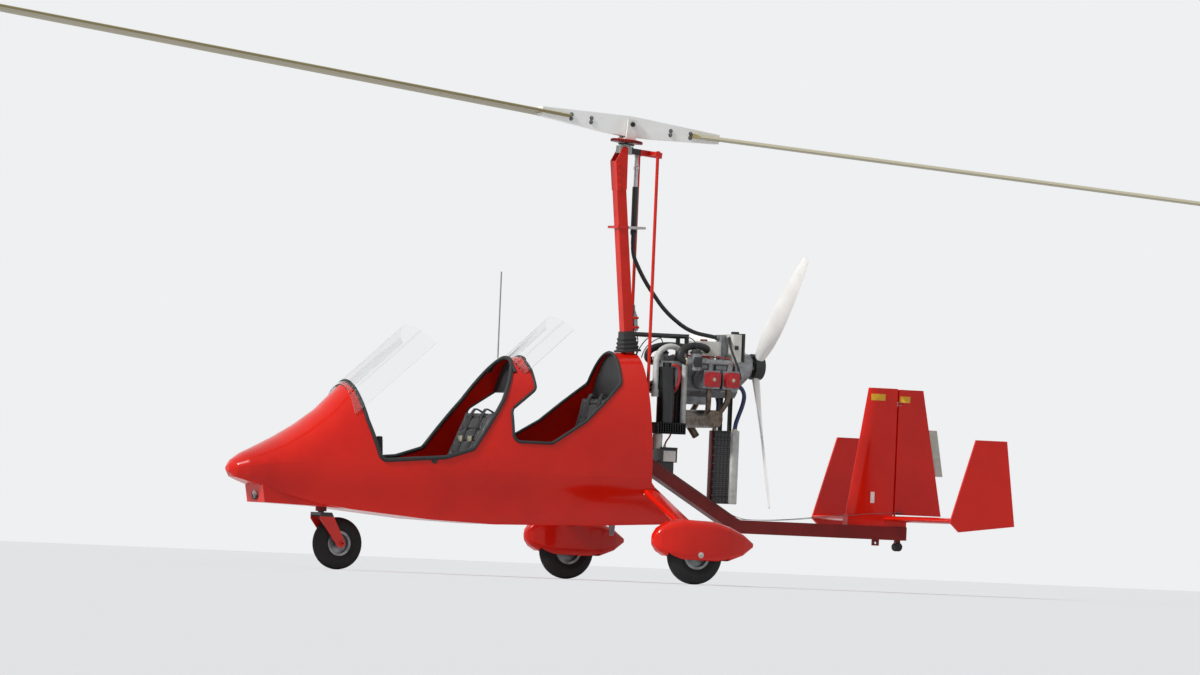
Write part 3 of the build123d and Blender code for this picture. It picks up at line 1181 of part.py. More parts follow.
def rudder_section(chord):
    """Rudder section: round nose at the hinge line, thin tail."""
    hinge, half = at(HINGE_AFT), RUDDER_HALF
    outline = Curve() + [
        ThreePointArc((hinge, half), (hinge - RUDDER_GAP / 2, 0), (hinge, -half)),
        Line((hinge, -half), (hinge + chord, -TRIM_THICK)),
        Line((hinge + chord, -TRIM_THICK), (hinge + chord, TRIM_THICK)),
        Line((hinge + chord, TRIM_THICK), (hinge, half)),
    ]
    return make_face(outline)


def tail():
    half = STAB_SPAN / 2
    stab_face = surface_section(at(STAB_LEAD), at(STAB_LEAD) + STAB_CHORD, STAB_THICK)
    stabiliser = extrude(Plane.XZ.offset(-half) * Pos(0, STAB_Z) * stab_face, STAB_SPAN)
    outline = [(at(STAB_LEAD + back), z) for back, z in END_PLATE_OUTLINE]
    plates = []
    for side in (-1, 1):
        low, high = sorted((side * half, side * (half + END_PLATE_THICK)))
        plates.append(side_plate(outline, low, high))
    stab_top = STAB_Z + STAB_THICK / 2
    fin_rows = ((stab_top, FIN_ROOT_AHEAD), (FIN_TOP_Z, FIN_TOP_AHEAD))
    fin = loft([Plane.XY.offset(z) * fin_section(at(STAB_LEAD - ahead)) for z, ahead in fin_rows], ruled=True)
    rail = box_between((at(STAB_LEAD - FIN_ROOT_AHEAD), -RAIL_HALF, BOOM_Z + BOOM_SIDE / 2),
                       (at(BOOM_END), RAIL_HALF, stab_top))
    rail = largest(rail - stabiliser)
    low_z = stab_top + 8.0
    rudder_rows = ((low_z, RUDDER_ROOT_CHORD), (RUDDER_TOP_Z, RUDDER_TOP_CHORD))
    rudder = loft([Plane.XY.offset(z) * rudder_section(chord) for z, chord in rudder_rows], ruled=True)
    trim = side_plate([(at(STAB_LEAD + back), z) for back, z in TRIM_OUTLINE], -TRIM_THICK / 2, TRIM_THICK / 2)
    trim = largest(trim - rudder)
    pin_x = at(HINGE_AFT) + RUDDER_PIN
    pintle = rod((pin_x, 0, STAB_Z), (pin_x, 0, low_z + 30.0), RUDDER_PIN) - stabiliser
    rudder -= rod((pin_x, 0, low_z - 1.0), (pin_x, 0, low_z + 31.0), RUDDER_PIN + 0.1)
    lug_top = GUDGEON_Z + GUDGEON_THICK
    gudgeon = box_between((at(HINGE_AFT) - RUDDER_GAP, -GUDGEON_RADIUS, GUDGEON_Z), (pin_x, GUDGEON_RADIUS, lug_top))
    gudgeon += rod((pin_x, 0, GUDGEON_Z), (pin_x, 0, lug_top), GUDGEON_RADIUS)
    gudgeon += rod((pin_x, 0, GUDGEON_Z - PIN_REACH), (pin_x, 0, lug_top + PIN_REACH), RUDDER_PIN)
    rudder -= box_between((at(HINGE_AFT) - RUDDER_GAP, -FIN_THICKNESS, GUDGEON_Z - MOVE_GAP),
                          (pin_x + GUDGEON_RADIUS + MOVE_GAP, FIN_THICKNESS, lug_top + MOVE_GAP))
    rudder -= rod((pin_x, 0, GUDGEON_Z - PIN_REACH - 1.0), (pin_x, 0, lug_top + PIN_REACH + 1.0), RUDDER_PIN + 0.1)
    return {"rudder_gudgeon": gudgeon, "tail_rail": rail, "stabiliser": stabiliser, "end_plates": group(plates), "fin": fin, "rudder": rudder,
            "trim_tab": trim, "rudder_pintle": largest(pintle)}


def build():
    pieces, outer = fuselage()
    pieces.update(cabin())
    pieces.update(seats())
    pieces.update(controls())
    for name, *row in SCREENS:
        pieces[name] = screen_sheet(outer, *row)
    pieces.update(structure())
    pieces.update(cheek_plates())
    pieces.update(rotor_head())
    pieces.update(push_rods())
    pieces.update(rotor_spindle())
    pieces.update(rotor())
    pieces.update(spin_up_drive())
    for make in (engine_block, carburettors, oil_system, exhaust, radiator, battery, engine_mount, propeller):
        pieces.update(make())
    pieces.update(main_gear())
    pieces.update(nose_gear())
    pieces.update(tail())
    for part, members in JOINED:
        first, *others = [pieces.pop(member) for member in members]
        for other in others:
            first = first + other
        pieces[part] = first
    return pieces


os.makedirs("parts", exist_ok=True)
for name, shape in build().items():
    shape.label = name
    export_step(shape, f"parts/{name}.step")
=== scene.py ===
from math import cos, exp, pi, radians, sin

import bpy
from mathutils import Matrix, Vector


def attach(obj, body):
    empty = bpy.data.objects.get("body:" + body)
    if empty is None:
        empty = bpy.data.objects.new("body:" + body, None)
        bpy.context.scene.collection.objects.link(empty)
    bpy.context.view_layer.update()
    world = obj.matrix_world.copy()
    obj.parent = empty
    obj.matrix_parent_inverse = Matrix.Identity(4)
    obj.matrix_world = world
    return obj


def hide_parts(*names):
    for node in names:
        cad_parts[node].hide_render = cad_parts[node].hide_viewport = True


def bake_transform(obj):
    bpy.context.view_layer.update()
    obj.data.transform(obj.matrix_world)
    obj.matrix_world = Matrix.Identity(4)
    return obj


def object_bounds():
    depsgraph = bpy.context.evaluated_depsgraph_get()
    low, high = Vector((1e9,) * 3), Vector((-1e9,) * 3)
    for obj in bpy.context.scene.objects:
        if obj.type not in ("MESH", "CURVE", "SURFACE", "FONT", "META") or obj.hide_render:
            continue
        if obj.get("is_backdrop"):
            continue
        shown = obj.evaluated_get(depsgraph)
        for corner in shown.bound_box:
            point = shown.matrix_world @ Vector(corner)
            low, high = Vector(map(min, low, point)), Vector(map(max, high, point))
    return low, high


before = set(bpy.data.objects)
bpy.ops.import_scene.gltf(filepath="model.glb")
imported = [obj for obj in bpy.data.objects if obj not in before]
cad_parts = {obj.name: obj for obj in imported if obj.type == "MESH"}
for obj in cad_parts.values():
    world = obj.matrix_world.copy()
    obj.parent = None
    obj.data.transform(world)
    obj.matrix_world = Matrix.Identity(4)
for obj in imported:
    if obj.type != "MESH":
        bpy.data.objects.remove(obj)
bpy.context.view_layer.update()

# Places are in metres: +X aft, +Y to starboard, +Z up, from the ground below the rotor hub.
NOSE_X = -2.47
MM = 0.001
AFT = (1, 0, 0)
ABOVE = (0, 0, 1)
SIDES = ((-1, "port"), (1, "starboard"))


def at(aft):
    """X of a place that lies so many millimetres aft of the nose."""
    return NOSE_X + aft * MM


def place(aft, y, z):
    """A point given in millimetres: aft of the nose, to starboard, above the ground."""
    return Vector((at(aft), y * MM, z * MM))


def on_side(side, *route):
    """Points given as (aft of the nose, out from the middle, above the ground) on one side."""
    return [place(aft, side * out, z) for aft, out, z in route]


def linear(code):
    """sRGB hex to the linear colour that a shader takes."""
    parts = [int(code[i:i + 2], 16) / 255 for i in (1, 3, 5)]
    return tuple(c / 12.92 if c <= 0.04045 else ((c + 0.055) / 1.055) ** 2.4 for c in parts) + (1.0,)


def node(tree, kind, settings=None, links=None):
    """Adds a shader node, with its settings and what its inputs are linked to."""
    made = tree.nodes.new("ShaderNode" + kind)
    for key, value in (settings or {}).items():
        if isinstance(key, int) or key in made.inputs:
            made.inputs[key].default_value = value
        else:
            setattr(made, key, value)
    for key, source in (links or {}).items():
        tree.links.new(source, made.inputs[key])
    return made


def new_material(name, **sockets):
    """A material with its tree, its shader and the object's own coordinates."""
    material = bpy.data.materials.new(name)
    material.use_nodes = True
    tree = material.node_tree
    shader = tree.nodes["Principled BSDF"]
    for socket, value in sockets.items():
        shader.inputs[socket.replace("_", " ")].default_value = value
    return material, tree, shader, node(tree, "TexCoord").outputs["Object"]


def surface(name, main, worn, patch_mm, grain_mm, grain_depth_mm, rough, **sockets):
    """A finish with slow colour and gloss patches and a fine grain, each at its size in millimetres."""
    material, tree, shader, spot = new_material(name, **sockets)
    patch = node(tree, "TexNoise", {"Scale": 1000 / patch_mm, "Detail": 4.0, "Roughness": 0.55},
                 {"Vector": spot}).outputs["Fac"]
    share = node(tree, "MapRange", {"From Min": 0.42, "From Max": 0.74}, {"Value": patch})
    mix = node(tree, "Mix", {"data_type": "RGBA", 6: linear(main), 7: linear(worn)}, {0: share.outputs[0]})
    tree.links.new(mix.outputs[2], shader.inputs["Base Color"])
    gloss = node(tree, "MapRange", {"From Min": 0.3, "From Max": 0.7, "To Min": rough * 0.85,
                                    "To Max": rough * 1.2}, {"Value": patch})
    tree.links.new(gloss.outputs[0], shader.inputs["Roughness"])
    grain = node(tree, "TexNoise", {"Scale": 1000 / grain_mm, "Detail": 3.0}, {"Vector": spot})
    bump = node(tree, "Bump", {"Strength": 0.5, "Distance": grain_depth_mm * MM},
                {"Height": grain.outputs["Fac"]})
    tree.links.new(bump.outputs["Normal"], shader.inputs["Normal"])
    return material


# Sand, tool and paint grains finer than a millimetre are drawn near one millimetre, so that they show

# Moulded fibreglass under red gel coat: a deep even gloss with a faint ripple, a little duller in patches
gelcoat = surface("red_gelcoat", "#D61B08", "#C31507", 420, 9, 0.05, 0.2,
                  Specular_IOR_Level=0.22, Coat_Weight=0.14, Coat_Roughness=0.05)
# Powder-coated steel tube: the same red with a fine orange-peel skin
powder_red = surface("red_powder_coat", "#D4210F", "#C01B0E", 160, 2.2, 0.06, 0.32, Specular_IOR_Level=0.3)
# The same coat made darker: partly the deeper red of the boom and the keel tube, partly painted shade of the
# boom's shaded underside
deeper_red_and_painted_shade = surface("deeper_red_coat_painted_shade", "#7E1410", "#6E100D", 180, 2.2, 0.06, 0.36,
                      Specular_IOR_Level=0.3)
# White enamel over machined aluminium: satin with faint handling marks
hub_enamel = surface("white_hub_enamel", "#FCFCFA", "#F3F3EF", 120, 3, 0.03, 0.3)
# Laminated propeller blade in white gel coat, dulled by grit
prop_gelcoat = surface("white_blade_gelcoat", "#F1F1ED", "#E7E6E1", 90, 4, 0.04, 0.3, Coat_Weight=0.3)
# Satin black powder coat on brackets and small tubes
black_coat = surface("black_powder_coat", "#1B1C1E", "#26272A", 60, 1.6, 0.06, 0.42)
# Moulded ABS with a leather-like spark texture, for panels and cockpit lining
black_abs = surface("black_moulded_abs", "#1E1F21", "#27282A", 90, 1.4, 0.16, 0.6)
# Vulcanised rubber: near black, greyed by dust
tyre_rubber = surface("tyre_rubber", "#1D1D1E", "#2C2B2A", 45, 2.0, 0.12, 0.78, Specular_IOR_Level=0.3)
# Extruded rubber edging and hoses: even and dull
hose_rubber = surface("hose_rubber", "#161617", "#202021", 40, 1.2, 0.05, 0.62)
# Braided silicone hose in pale grey: a coarse weave under a soft gloss
pale_hose = surface("pale_silicone_hose", "#C4C6C2", "#A9ABA8", 30, 2.2, 0.12, 0.55)
# Blue silicone hose of the cooling circuit: deep and even
blue_hose = surface("blue_silicone_hose", "#1E2F5C", "#17244A", 30, 1.8, 0.08, 0.5)
# Red silicone sleeving round leads and a hose, also on a cap and the belts' buttons: even, with a soft gloss
red_hose = surface("red_silicone_sleeve", "#A31A1E", "#861417", 24, 1.4, 0.06, 0.5)
# Die-cast aluminium: light grey with a sandy skin and darker stains
cast_alloy = surface("cast_aluminium", "#8E9092", "#6E7071", 38, 1.3, 0.18, 0.48, Metallic=0.85)
# Turned aluminium of washers, switches, the spline's guard and the lamp's bowl: bright, with fine tool marks
machined_alloy = surface("machined_aluminium", "#B9BBBC", "#A2A4A6", 30, 0.9, 0.04, 0.3, Metallic=0.95)
# Turned and ground steel of the axles: bright and even
ground_steel = surface("ground_steel", "#9C9DA0", "#86878A", 22, 0.8, 0.03, 0.28, Metallic=1.0)
# Zinc-plated fasteners: pale with a faint yellow cast
zinc_plate = surface("zinc_plate", "#B5B09A", "#9C9787", 8, 0.7, 0.03, 0.35, Metallic=0.95)
# Enamelled rocker covers in a cooler red
cover_enamel = surface("red_cover_enamel", "#B5141C", "#9C1018", 30, 1.6, 0.08, 0.3)
# Rotationally moulded white polyethylene: waxy and slightly yellowed
white_poly = surface("white_polyethylene", "#DCDBD4", "#C8C6BC", 60, 2.6, 0.1, 0.42)
# Grey nylon sheath round a glass rod: an even satin
grey_nylon = surface("grey_nylon", "#8C8F90", "#7A7D7E", 50, 1.4, 0.08, 0.5)
# Stainless exhaust steel, straw and brown where it runs hot
hot_steel = surface("heat_stained_steel", "#6A5F54", "#41372F", 30, 0.8, 0.03, 0.38, Metallic=0.9)
# Black-oxide steel of the hub bar's bolts and the rudder cables: dark grey with a dull sheen
dark_steel = surface("black_oxide_steel", "#6C6E6E", "#545657", 12, 0.8, 0.03, 0.45, Metallic=0.8)
# Pale grey paint on sheet aluminium: flat and satin
tab_paint = surface("pale_grey_paint", "#B3B7AD", "#A1A59B", 40, 2.0, 0.04, 0.45)
# Glossy black enamel on the pressed tank
tank_coat = surface("black_tank_enamel", "#141516", "#1F2022", 70, 1.5, 0.05, 0.26)
# Self-adhesive vinyl film on fin and rudder: flat and satin, in yellow and in white
yellow_film = surface("yellow_film", "#D9A514", "#C8950F", 30, 3, 0.03, 0.35)
white_film = surface("white_film", "#E6E5E0", "#D8D6CF", 30, 3, 0.03, 0.4)
# Woven polyester belt: dull black with a coarse weave
belt_web = surface("black_polyester_webbing", "#202124", "#303136", 12, 1.6, 0.25, 0.7, Sheen_Weight=0.15)
# A wave texture in metres repeats every 314 mm at a scale of one
WAVE_MM = 100 * pi
# The radiators' plain brackets stand above this height, in metres
BRACKET_FOOT = 0.93


def blade_skin_with_painted_shade():
    """Blade skin in olive-tan paint with worn streaks along the blade, and painted shade: faces turned
    sideways or down are drawn a darker olive, with a painted reflection of the ground.
    """
    material, tree, shader, spot = new_material("rotor_blade_skin_painted_shade", Roughness=0.36)
    facing = node(tree, "SeparateXYZ", {}, {"Vector": node(tree, "TexCoord").outputs["Normal"]})
    # Faces turned sideways or down take the darker olive: painted shade and a painted reflection of the
    # ground
    below = node(tree, "MapRange", {"From Min": 0.85, "From Max": 0.45}, {"Value": facing.outputs["Z"]})
    streak = node(tree, "Mapping", {"Scale": (1000 / 555.56, 1000 / 23.81, 1000 / 23.81)}, {"Vector": spot})
    wear = node(tree, "TexNoise", {"Scale": 1.0, "Detail": 6.0}, {"Vector": streak.outputs[0]}).outputs["Fac"]
    # Upper tones, then the darker painted-shade tones, each with worn streaks
    top, low = [
        node(tree, "Mix", {"data_type": "RGBA", 6: linear(fresh), 7: linear(worn)}, {0: wear}).outputs[2]
        for fresh, worn in (("#B8AF8A", "#A69D77"), ("#978C62", "#80764F"))]
    both = node(tree, "Mix", {"data_type": "RGBA"}, {0: below.outputs[0], 6: top, 7: low})
    tree.links.new(both.outputs[2], shader.inputs["Base Color"])
    bump = node(tree, "Bump", {"Strength": 0.4, "Distance": 0.2 * MM}, {"Height": wear})
    tree.links.new(bump.outputs["Normal"], shader.inputs["Normal"])
    return material


def clear_acrylic():
    """Blown acrylic sheet, 3 mm: clear, with a faint polishing haze in patches of about 140 mm."""
    material, tree, shader, spot = new_material(
        "clear_acrylic", Roughness=0.03, IOR=1.49, Transmission_Weight=1.0, Base_Color=linear("#FBFCFC"))
    haze = node(tree, "TexNoise", {"Scale": 1000 / 143, "Detail": 3.0}, {"Vector": spot})
    polish = node(tree, "MapRange", {"To Min": 0.0, "To Max": 0.03}, {"Value": haze.outputs["Fac"]})
    tree.links.new(polish.outputs[0], shader.inputs["Roughness"])
    return material


def vinyl():
    """Black upholstery vinyl with a pebble grain of about 2 mm."""
    material, tree, shader, spot = new_material("black_vinyl", Roughness=0.5, Sheen_Weight=0.1)
    pebble = node(tree, "TexVoronoi", {"Scale": 1000 / 2.4}, {"Vector": spot}).outputs["Distance"]
    fold = node(tree, "TexNoise", {"Scale": 1000 / 55, "Detail": 4.0}, {"Vector": spot}).outputs["Fac"]
    colour = node(tree, "Mix", {"data_type": "RGBA", 6: linear("#1F1E1F"), 7: linear("#343233")}, {0: fold})
    tree.links.new(colour.outputs[2], shader.inputs["Base Color"])
    height = node(tree, "Math", {"operation": "ADD"}, {0: pebble, 1: fold})
    bump = node(tree, "Bump", {"Strength": 0.6, "Distance": 0.6 * MM}, {"Height": height.outputs[0]})
    tree.links.new(bump.outputs["Normal"], shader.inputs["Normal"])
    return material


def radiator_core():
    """Folded aluminium fins between flat tubes, on everything below the plain brackets."""
    material, tree, shader, spot = new_material("radiator_core", Roughness=0.5, Metallic=0.6)
    fins, tubes = [
        node(tree, "TexWave", {"Scale": WAVE_MM / pitch, "bands_direction": way},
             {"Vector": spot}).outputs["Fac"]
        for pitch, way in ((12.083, "Z"), (43.63, "Y"))]
    parted = node(tree, "SeparateXYZ", {}, {"Vector": spot})
    below = node(tree, "Math", {"operation": "LESS_THAN", 1: BRACKET_FOOT}, {0: parted.outputs["Z"]})
    below = below.outputs[0]
    stripe = node(tree, "Math", {"operation": "MULTIPLY"}, {0: fins, 1: below}).outputs[0]
    tone = node(tree, "Mix", {"data_type": "RGBA", 6: linear("#111112"), 7: linear("#38393B")}, {0: stripe})
    tree.links.new(tone.outputs[2], shader.inputs["Base Color"])
    height = node(tree, "Math", {"operation": "ADD"}, {0: fins, 1: tubes})
    height = node(tree, "Math", {"operation": "MULTIPLY"}, {0: height.outputs[0], 1: below})
    bump = node(tree, "Bump", {"Strength": 0.8, "Distance": 2 * MM}, {"Height": height.outputs[0]})
    tree.links.new(bump.outputs["Normal"], shader.inputs["Normal"])
    return material


def zoned(name, main, zones, grain_mm, rough):
    """Paint with other finishes in zones of (axis, from, to, tone, patch tone, metallic), in millimetres."""
    material, tree, shader, spot = new_material(name, Roughness=rough)
    parted = node(tree, "SeparateXYZ", {}, {"Vector": spot})
    patch = node(tree, "TexNoise", {"Scale": 1000 / (40 * grain_mm), "Detail": 4.0}, {"Vector": spot})
    patch = patch.outputs["Fac"]
    colour = node(tree, "Mix", {"data_type": "RGBA", 6: linear(main[0]), 7: linear(main[1])}, {0: patch})
    metal = node(tree, "Value").outputs[0]
    metal.default_value = 0.0
    for axis, low, high, light, dark, shine in zones:
        middle, half = (low + high) / 2 * MM, (high - low) / 2 * MM
        inside = node(tree, "Math", {"operation": "COMPARE", 1: middle, 2: half}, {0: parted.outputs[axis]})
        tone = node(tree, "Mix", {"data_type": "RGBA", 6: linear(light), 7: linear(dark)}, {0: patch})
        colour = node(tree, "Mix", {"data_type": "RGBA"},
                      {0: inside.outputs[0], 6: colour.outputs[2], 7: tone.outputs[2]})
        metal = node(tree, "MapRange", {"To Max": shine},
                     {"Value": inside.outputs[0], "To Min": metal}).outputs[0]
    tree.links.new(colour.outputs[2], shader.inputs["Base Color"])
    if any(zone[5] for zone in zones):
        tree.links.new(metal, shader.inputs["Metallic"])
    grain = node(tree, "TexNoise", {"Scale": 1000 / grain_mm, "Detail": 3.0}, {"Vector": spot})
    bump = node(tree, "Bump", {"Strength": 0.5, "Distance": 0.05 * MM}, {"Height": grain.outputs["Fac"]})
    tree.links.new(bump.outputs["Normal"], shader.inputs["Normal"])
    return material


# The head: a bare alloy block ahead, a black one behind it and red arms
head_coat = zoned("head_powder_coat", ("#D4210F", "#C01B0E"), (
    ("X", -200, 15, "#A4A69F", "#8B8D87", 0.6), ("X", 15, 80, "#17171A", "#232326", 0.0)), 2.2, 0.36)
# The nose fork has a black crown and red blades
fork_coat = zoned("fork_powder_coat", ("#D4210F", "#C01B0E"), (
    ("Z", 300, 600, "#19191B", "#242427", 0.0),), 2.2, 0.36)
# The tower is white with dark steel bolt ends
tower_enamel = zoned("tower_enamel", ("#F1F0EC", "#E2E0DA"), (
    ("Y", 49.3, 80, "#3A3B3E", "#2A2B2D", 0.9), ("Y", -80, -49.3, "#3A3B3E", "#2A2B2D", 0.9)), 3.0, 0.34)
# The drive sleeve is black rubber below a steel spline, in a pale alloy clamp that is red round the mast
sleeve_coat = zoned("drive_sleeve", ("#18181A", "#232325"), (
    ("Z", 2290.5, 2600, "#B4B5B7", "#98999C", 0.95), ("Z", 2042, 2058, "#BFC0BF", "#A6A8A8", 0.6),
    ("X", -200, 12, "#D4210F", "#C01B0E", 0.0)), 1.6, 0.42)

blade_skin_painted_shade = blade_skin_with_painted_shade()
acrylic = clear_acrylic()
seat_vinyl = vinyl()
core_fins = radiator_core()

# Each CAD part with its finish
FINISHES = (
    (gelcoat, ("pod_tub", "nose_cowl", "cockpit_hump", "aft_cowl", "chin_box", "wheel_spats",
               "main_gear_legs", "stabiliser", "fin", "rudder")),
    (powder_red, ("mast", "push_rods")),
    (fork_coat, ("nose_fork",)),
    (head_coat, ("head_block",)),
    (tower_enamel, ("teeter_tower",)),
    (sleeve_coat, ("spin_up_sleeve",)),
    # The darker red coat is partly painted shade
    (deeper_red_and_painted_shade, ("keel_tube", "tail_boom", "rotor_spindle")),
    (hub_enamel, ("hub_bar",)),
    (prop_gelcoat, ("propeller_blades",)),
    (blade_skin_painted_shade, ("rotor_blades",)),
    (acrylic, ("windscreens", "landing_lamp")),
    (seat_vinyl, ("seat_cushions", "seat_backs")),
    (black_abs, ("cockpit_floor", "rear_bulkhead", "instrument_panels")),
    (black_coat, ("cockpit_controls", "engine_mount", "propeller_hub")),
    (tank_coat, ("oil_tank", "battery_box")),
    (hose_rubber, ("spin_up_flex_shaft",)),
    (tyre_rubber, ("main_tyre_left", "main_tyre_right", "nose_tyre")),
    (ground_steel, ("main_axles",)),
    (cast_alloy, ("main_rim_left", "main_rim_right", "nose_rim", "crankcase", "cylinders", "gearbox",
                  "carburettors", "intake_pipes")),
    (cover_enamel, ("rocker_covers",)),
    (white_poly, ("airbox", "coolant_tank")),
    (grey_nylon, ("whip_antenna",)),
    (tab_paint, ("trim_tab",)),
    (pale_hose, ("oil_hose",)),
    (hot_steel, ("exhaust",)),
    (core_fins, ("radiator", "oil_cooler")),
)
# Loose triangles closer than this are welded
WELD = 0.02 * MM
# Edges sharper than these stay crisp, on the CAD parts and on the new pieces
CREASE = radians(28)
SMOOTH = radians(35)
for finish, names in FINISHES:
    for name in names:
        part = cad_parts[name]
        part.data.materials.clear()
        part.data.materials.append(finish)
        part.data.shade_smooth()
        weld = part.modifiers.new("Weld", "WELD")
        weld.merge_threshold = WELD
        split = part.modifiers.new("Edges", "EDGE_SPLIT")
        split.split_angle = CREASE


def clear_selection():
    """Leaves edit mode, with nothing selected."""
    if bpy.context.object and bpy.context.object.mode != "OBJECT":
        bpy.ops.object.mode_set(mode="OBJECT")
    bpy.ops.object.select_all(action="DESELECT")


def take_up(piece):
    """Selects one piece alone, ready for operators."""
    clear_selection()
    piece.select_set(True)
    bpy.context.view_layer.objects.active = piece


def work(piece, kind, **settings):
    """Gives the piece in hand a modifier and applies it."""
    modifier = piece.modifiers.new("Work", kind)
    for key, value in settings.items():
        setattr(modifier, key, value)
    bpy.ops.object.modifier_apply(modifier=modifier.name)


def settle(piece, name, finish, body="root"):
    """Names a finished piece, puts its place into its mesh and lets it ride on its body."""
    take_up(piece)
    if piece.type != "MESH":
        bpy.ops.object.convert(target="MESH")
        piece = bpy.context.object
    bpy.ops.object.transform_apply(location=True, rotation=True, scale=True)
    piece.name = name
    piece.data.name = name
    piece.data.materials.clear()
    piece.data.materials.append(finish)
    bpy.ops.object.shade_smooth_by_angle(angle=SMOOTH)
    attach(piece, body)
    return piece


def join(pieces):
    """Joins pieces into the first of them."""
    clear_selection()
    for piece in pieces:
        piece.select_set(True)
    bpy.context.view_layer.objects.active = pieces[0]
    bpy.ops.object.join()
    return bpy.context.object


def repeat(piece, shifts):
    """Copies a shaped piece by each shift, every copy with its own mesh, and joins them."""
    made = []
    for shift in shifts:
        copy = piece.copy()
        copy.data = piece.data.copy()
        bpy.context.collection.objects.link(copy)
        copy.location = piece.location + shift
        made.append(copy)
    bpy.data.objects.remove(piece)
    return join(made)


def block(low, high, edge_mm, levels=2):
    """A box between two corners, with rounded edges."""
    clear_selection()
    bpy.ops.mesh.primitive_cube_add(size=1.0, location=(low + high) / 2, scale=high - low)
    bpy.ops.object.transform_apply(location=False, rotation=False, scale=True)
    piece = bpy.context.object
    work(piece, "BEVEL", width=edge_mm * MM, segments=levels)
    return piece


def drawn_line(points):
    """A mesh of one line through the points, drawn vertex by vertex."""
    clear_selection()
    bpy.ops.mesh.primitive_plane_add(size=MM, location=points[0])
    bpy.ops.object.mode_set(mode="EDIT")
    bpy.ops.mesh.select_mode(type="VERT")
    bpy.ops.mesh.select_all(action="SELECT")
    bpy.ops.mesh.merge(type="CENTER")
    for here, there in zip(points, points[1:]):
        bpy.ops.mesh.extrude_vertices_move(TRANSFORM_OT_translate={"value": there - here})
    return bpy.context.object


def lathe(profile, centre, axis, steps=32, outward=None):
    """Spins a profile of (along the axis, out from it) pairs, in millimetres."""
    axis = Vector(axis).normalized()
    outward = Vector(outward) if outward else axis.orthogonal()
    outward = (outward - axis * outward.dot(axis)).normalized()
    piece = drawn_line([centre + axis * along * MM + outward * out * MM for along, out in profile])
    bpy.ops.mesh.select_all(action="SELECT")
    bpy.ops.mesh.spin(steps=steps, angle=2 * pi, center=centre, axis=axis)
    bpy.ops.mesh.select_all(action="SELECT")
    bpy.ops.mesh.remove_doubles(threshold=WELD)
    bpy.ops.mesh.select_all(action="SELECT")
    bpy.ops.mesh.normals_make_consistent(inside=False)
    bpy.ops.object.mode_set(mode="OBJECT")
    return piece


def ring(centre, axis, inner, outer, half, round_mm=1.0, steps=32):
    """A closed band round an axis, with its four edges broken."""
    r = round_mm
    profile = ((-half, inner + r), (-half, outer - r), (r - half, outer), (half - r, outer),
               (half, outer - r), (half, inner + r), (half - r, inner), (r - half, inner), (-half, inner + r))
    return lathe(profile, centre, axis, steps)


# Corner radius of a hexagon for each millimetre across its flats
HEXAGON = 0.577


def hexagon_bolts(name, points, axis, across_mm, height_mm, body="root", finish=zinc_plate):
    """Hexagon heads on washers: one is shaped and copied to each point."""
    r, h = across_mm * HEXAGON, height_mm
    head = lathe(((-0.5, 0), (-0.5, r), (h * 0.8, r), (h, r * 0.82), (h, 0)), points[0], axis, 6)
    washer = lathe(((-0.5, 0), (-0.5, r * 1.45), (h * 0.14, r * 1.45), (h * 0.18, r * 1.3),
                    (h * 0.18, 0)), points[0], axis, 20)
    bolts = repeat(join([head, washer]), [point - points[0] for point in points])
    return settle(bolts, name, finish, body)


def hose_run(name, points, radius_mm, finish):
    """A hose or cable on one smooth curve through its chosen points."""
    clear_selection()
    curve = bpy.data.curves.new(name, "CURVE")
    curve.dimensions = "3D"
    spline = curve.splines.new("NURBS")
    spline.points.add(len(points) - 1)
    for knot, point in zip(spline.points, points):
        knot.co = (*point, 1)
    spline.order_u = 3
    spline.use_endpoint_u = True
    curve.resolution_u = 6
    curve.bevel_depth = radius_mm * MM
    curve.bevel_resolution = 3
    curve.use_fill_caps = True
    piece = bpy.data.objects.new(name, curve)
    bpy.context.collection.objects.link(piece)
    return settle(piece, name, finish)


def webbing(points, width_mm, thick_mm, across=(0, 1, 0)):
    """A flat strap whose width lies along one direction, with folded edges."""
    half = Vector(across).normalized() * width_mm / 2 * MM
    piece = drawn_line([points[0] - half, points[0] + half])
    bpy.ops.mesh.select_all(action="SELECT")
    for here, there in zip(points, points[1:]):
        bpy.ops.mesh.extrude_edges_move(TRANSFORM_OT_translate={"value": there - here})
    bpy.ops.object.mode_set(mode="OBJECT")
    work(piece, "SOLIDIFY", thickness=thick_mm * MM, offset=0.0)
    work(piece, "BEVEL", width=0.35 * thick_mm * MM, segments=2)
    work(piece, "SUBSURF", levels=1, render_levels=1)
    return piece


def skin_copy(name, node_names, weld_mm):
    """One piece from copies of CAD nodes, open in edit mode with its triangles welded."""
    clear_selection()
    for node_name in node_names:
        copy = bpy.data.objects.new(name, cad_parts[node_name].data.copy())
        bpy.context.collection.objects.link(copy)
        copy.select_set(True)
        bpy.context.view_layer.objects.active = copy
    if len(node_names) > 1:
        bpy.ops.object.join()
    bpy.ops.object.mode_set(mode="EDIT")
    bpy.ops.mesh.select_all(action="SELECT")
    bpy.ops.mesh.remove_doubles(threshold=weld_mm * MM)
    return bpy.context.object


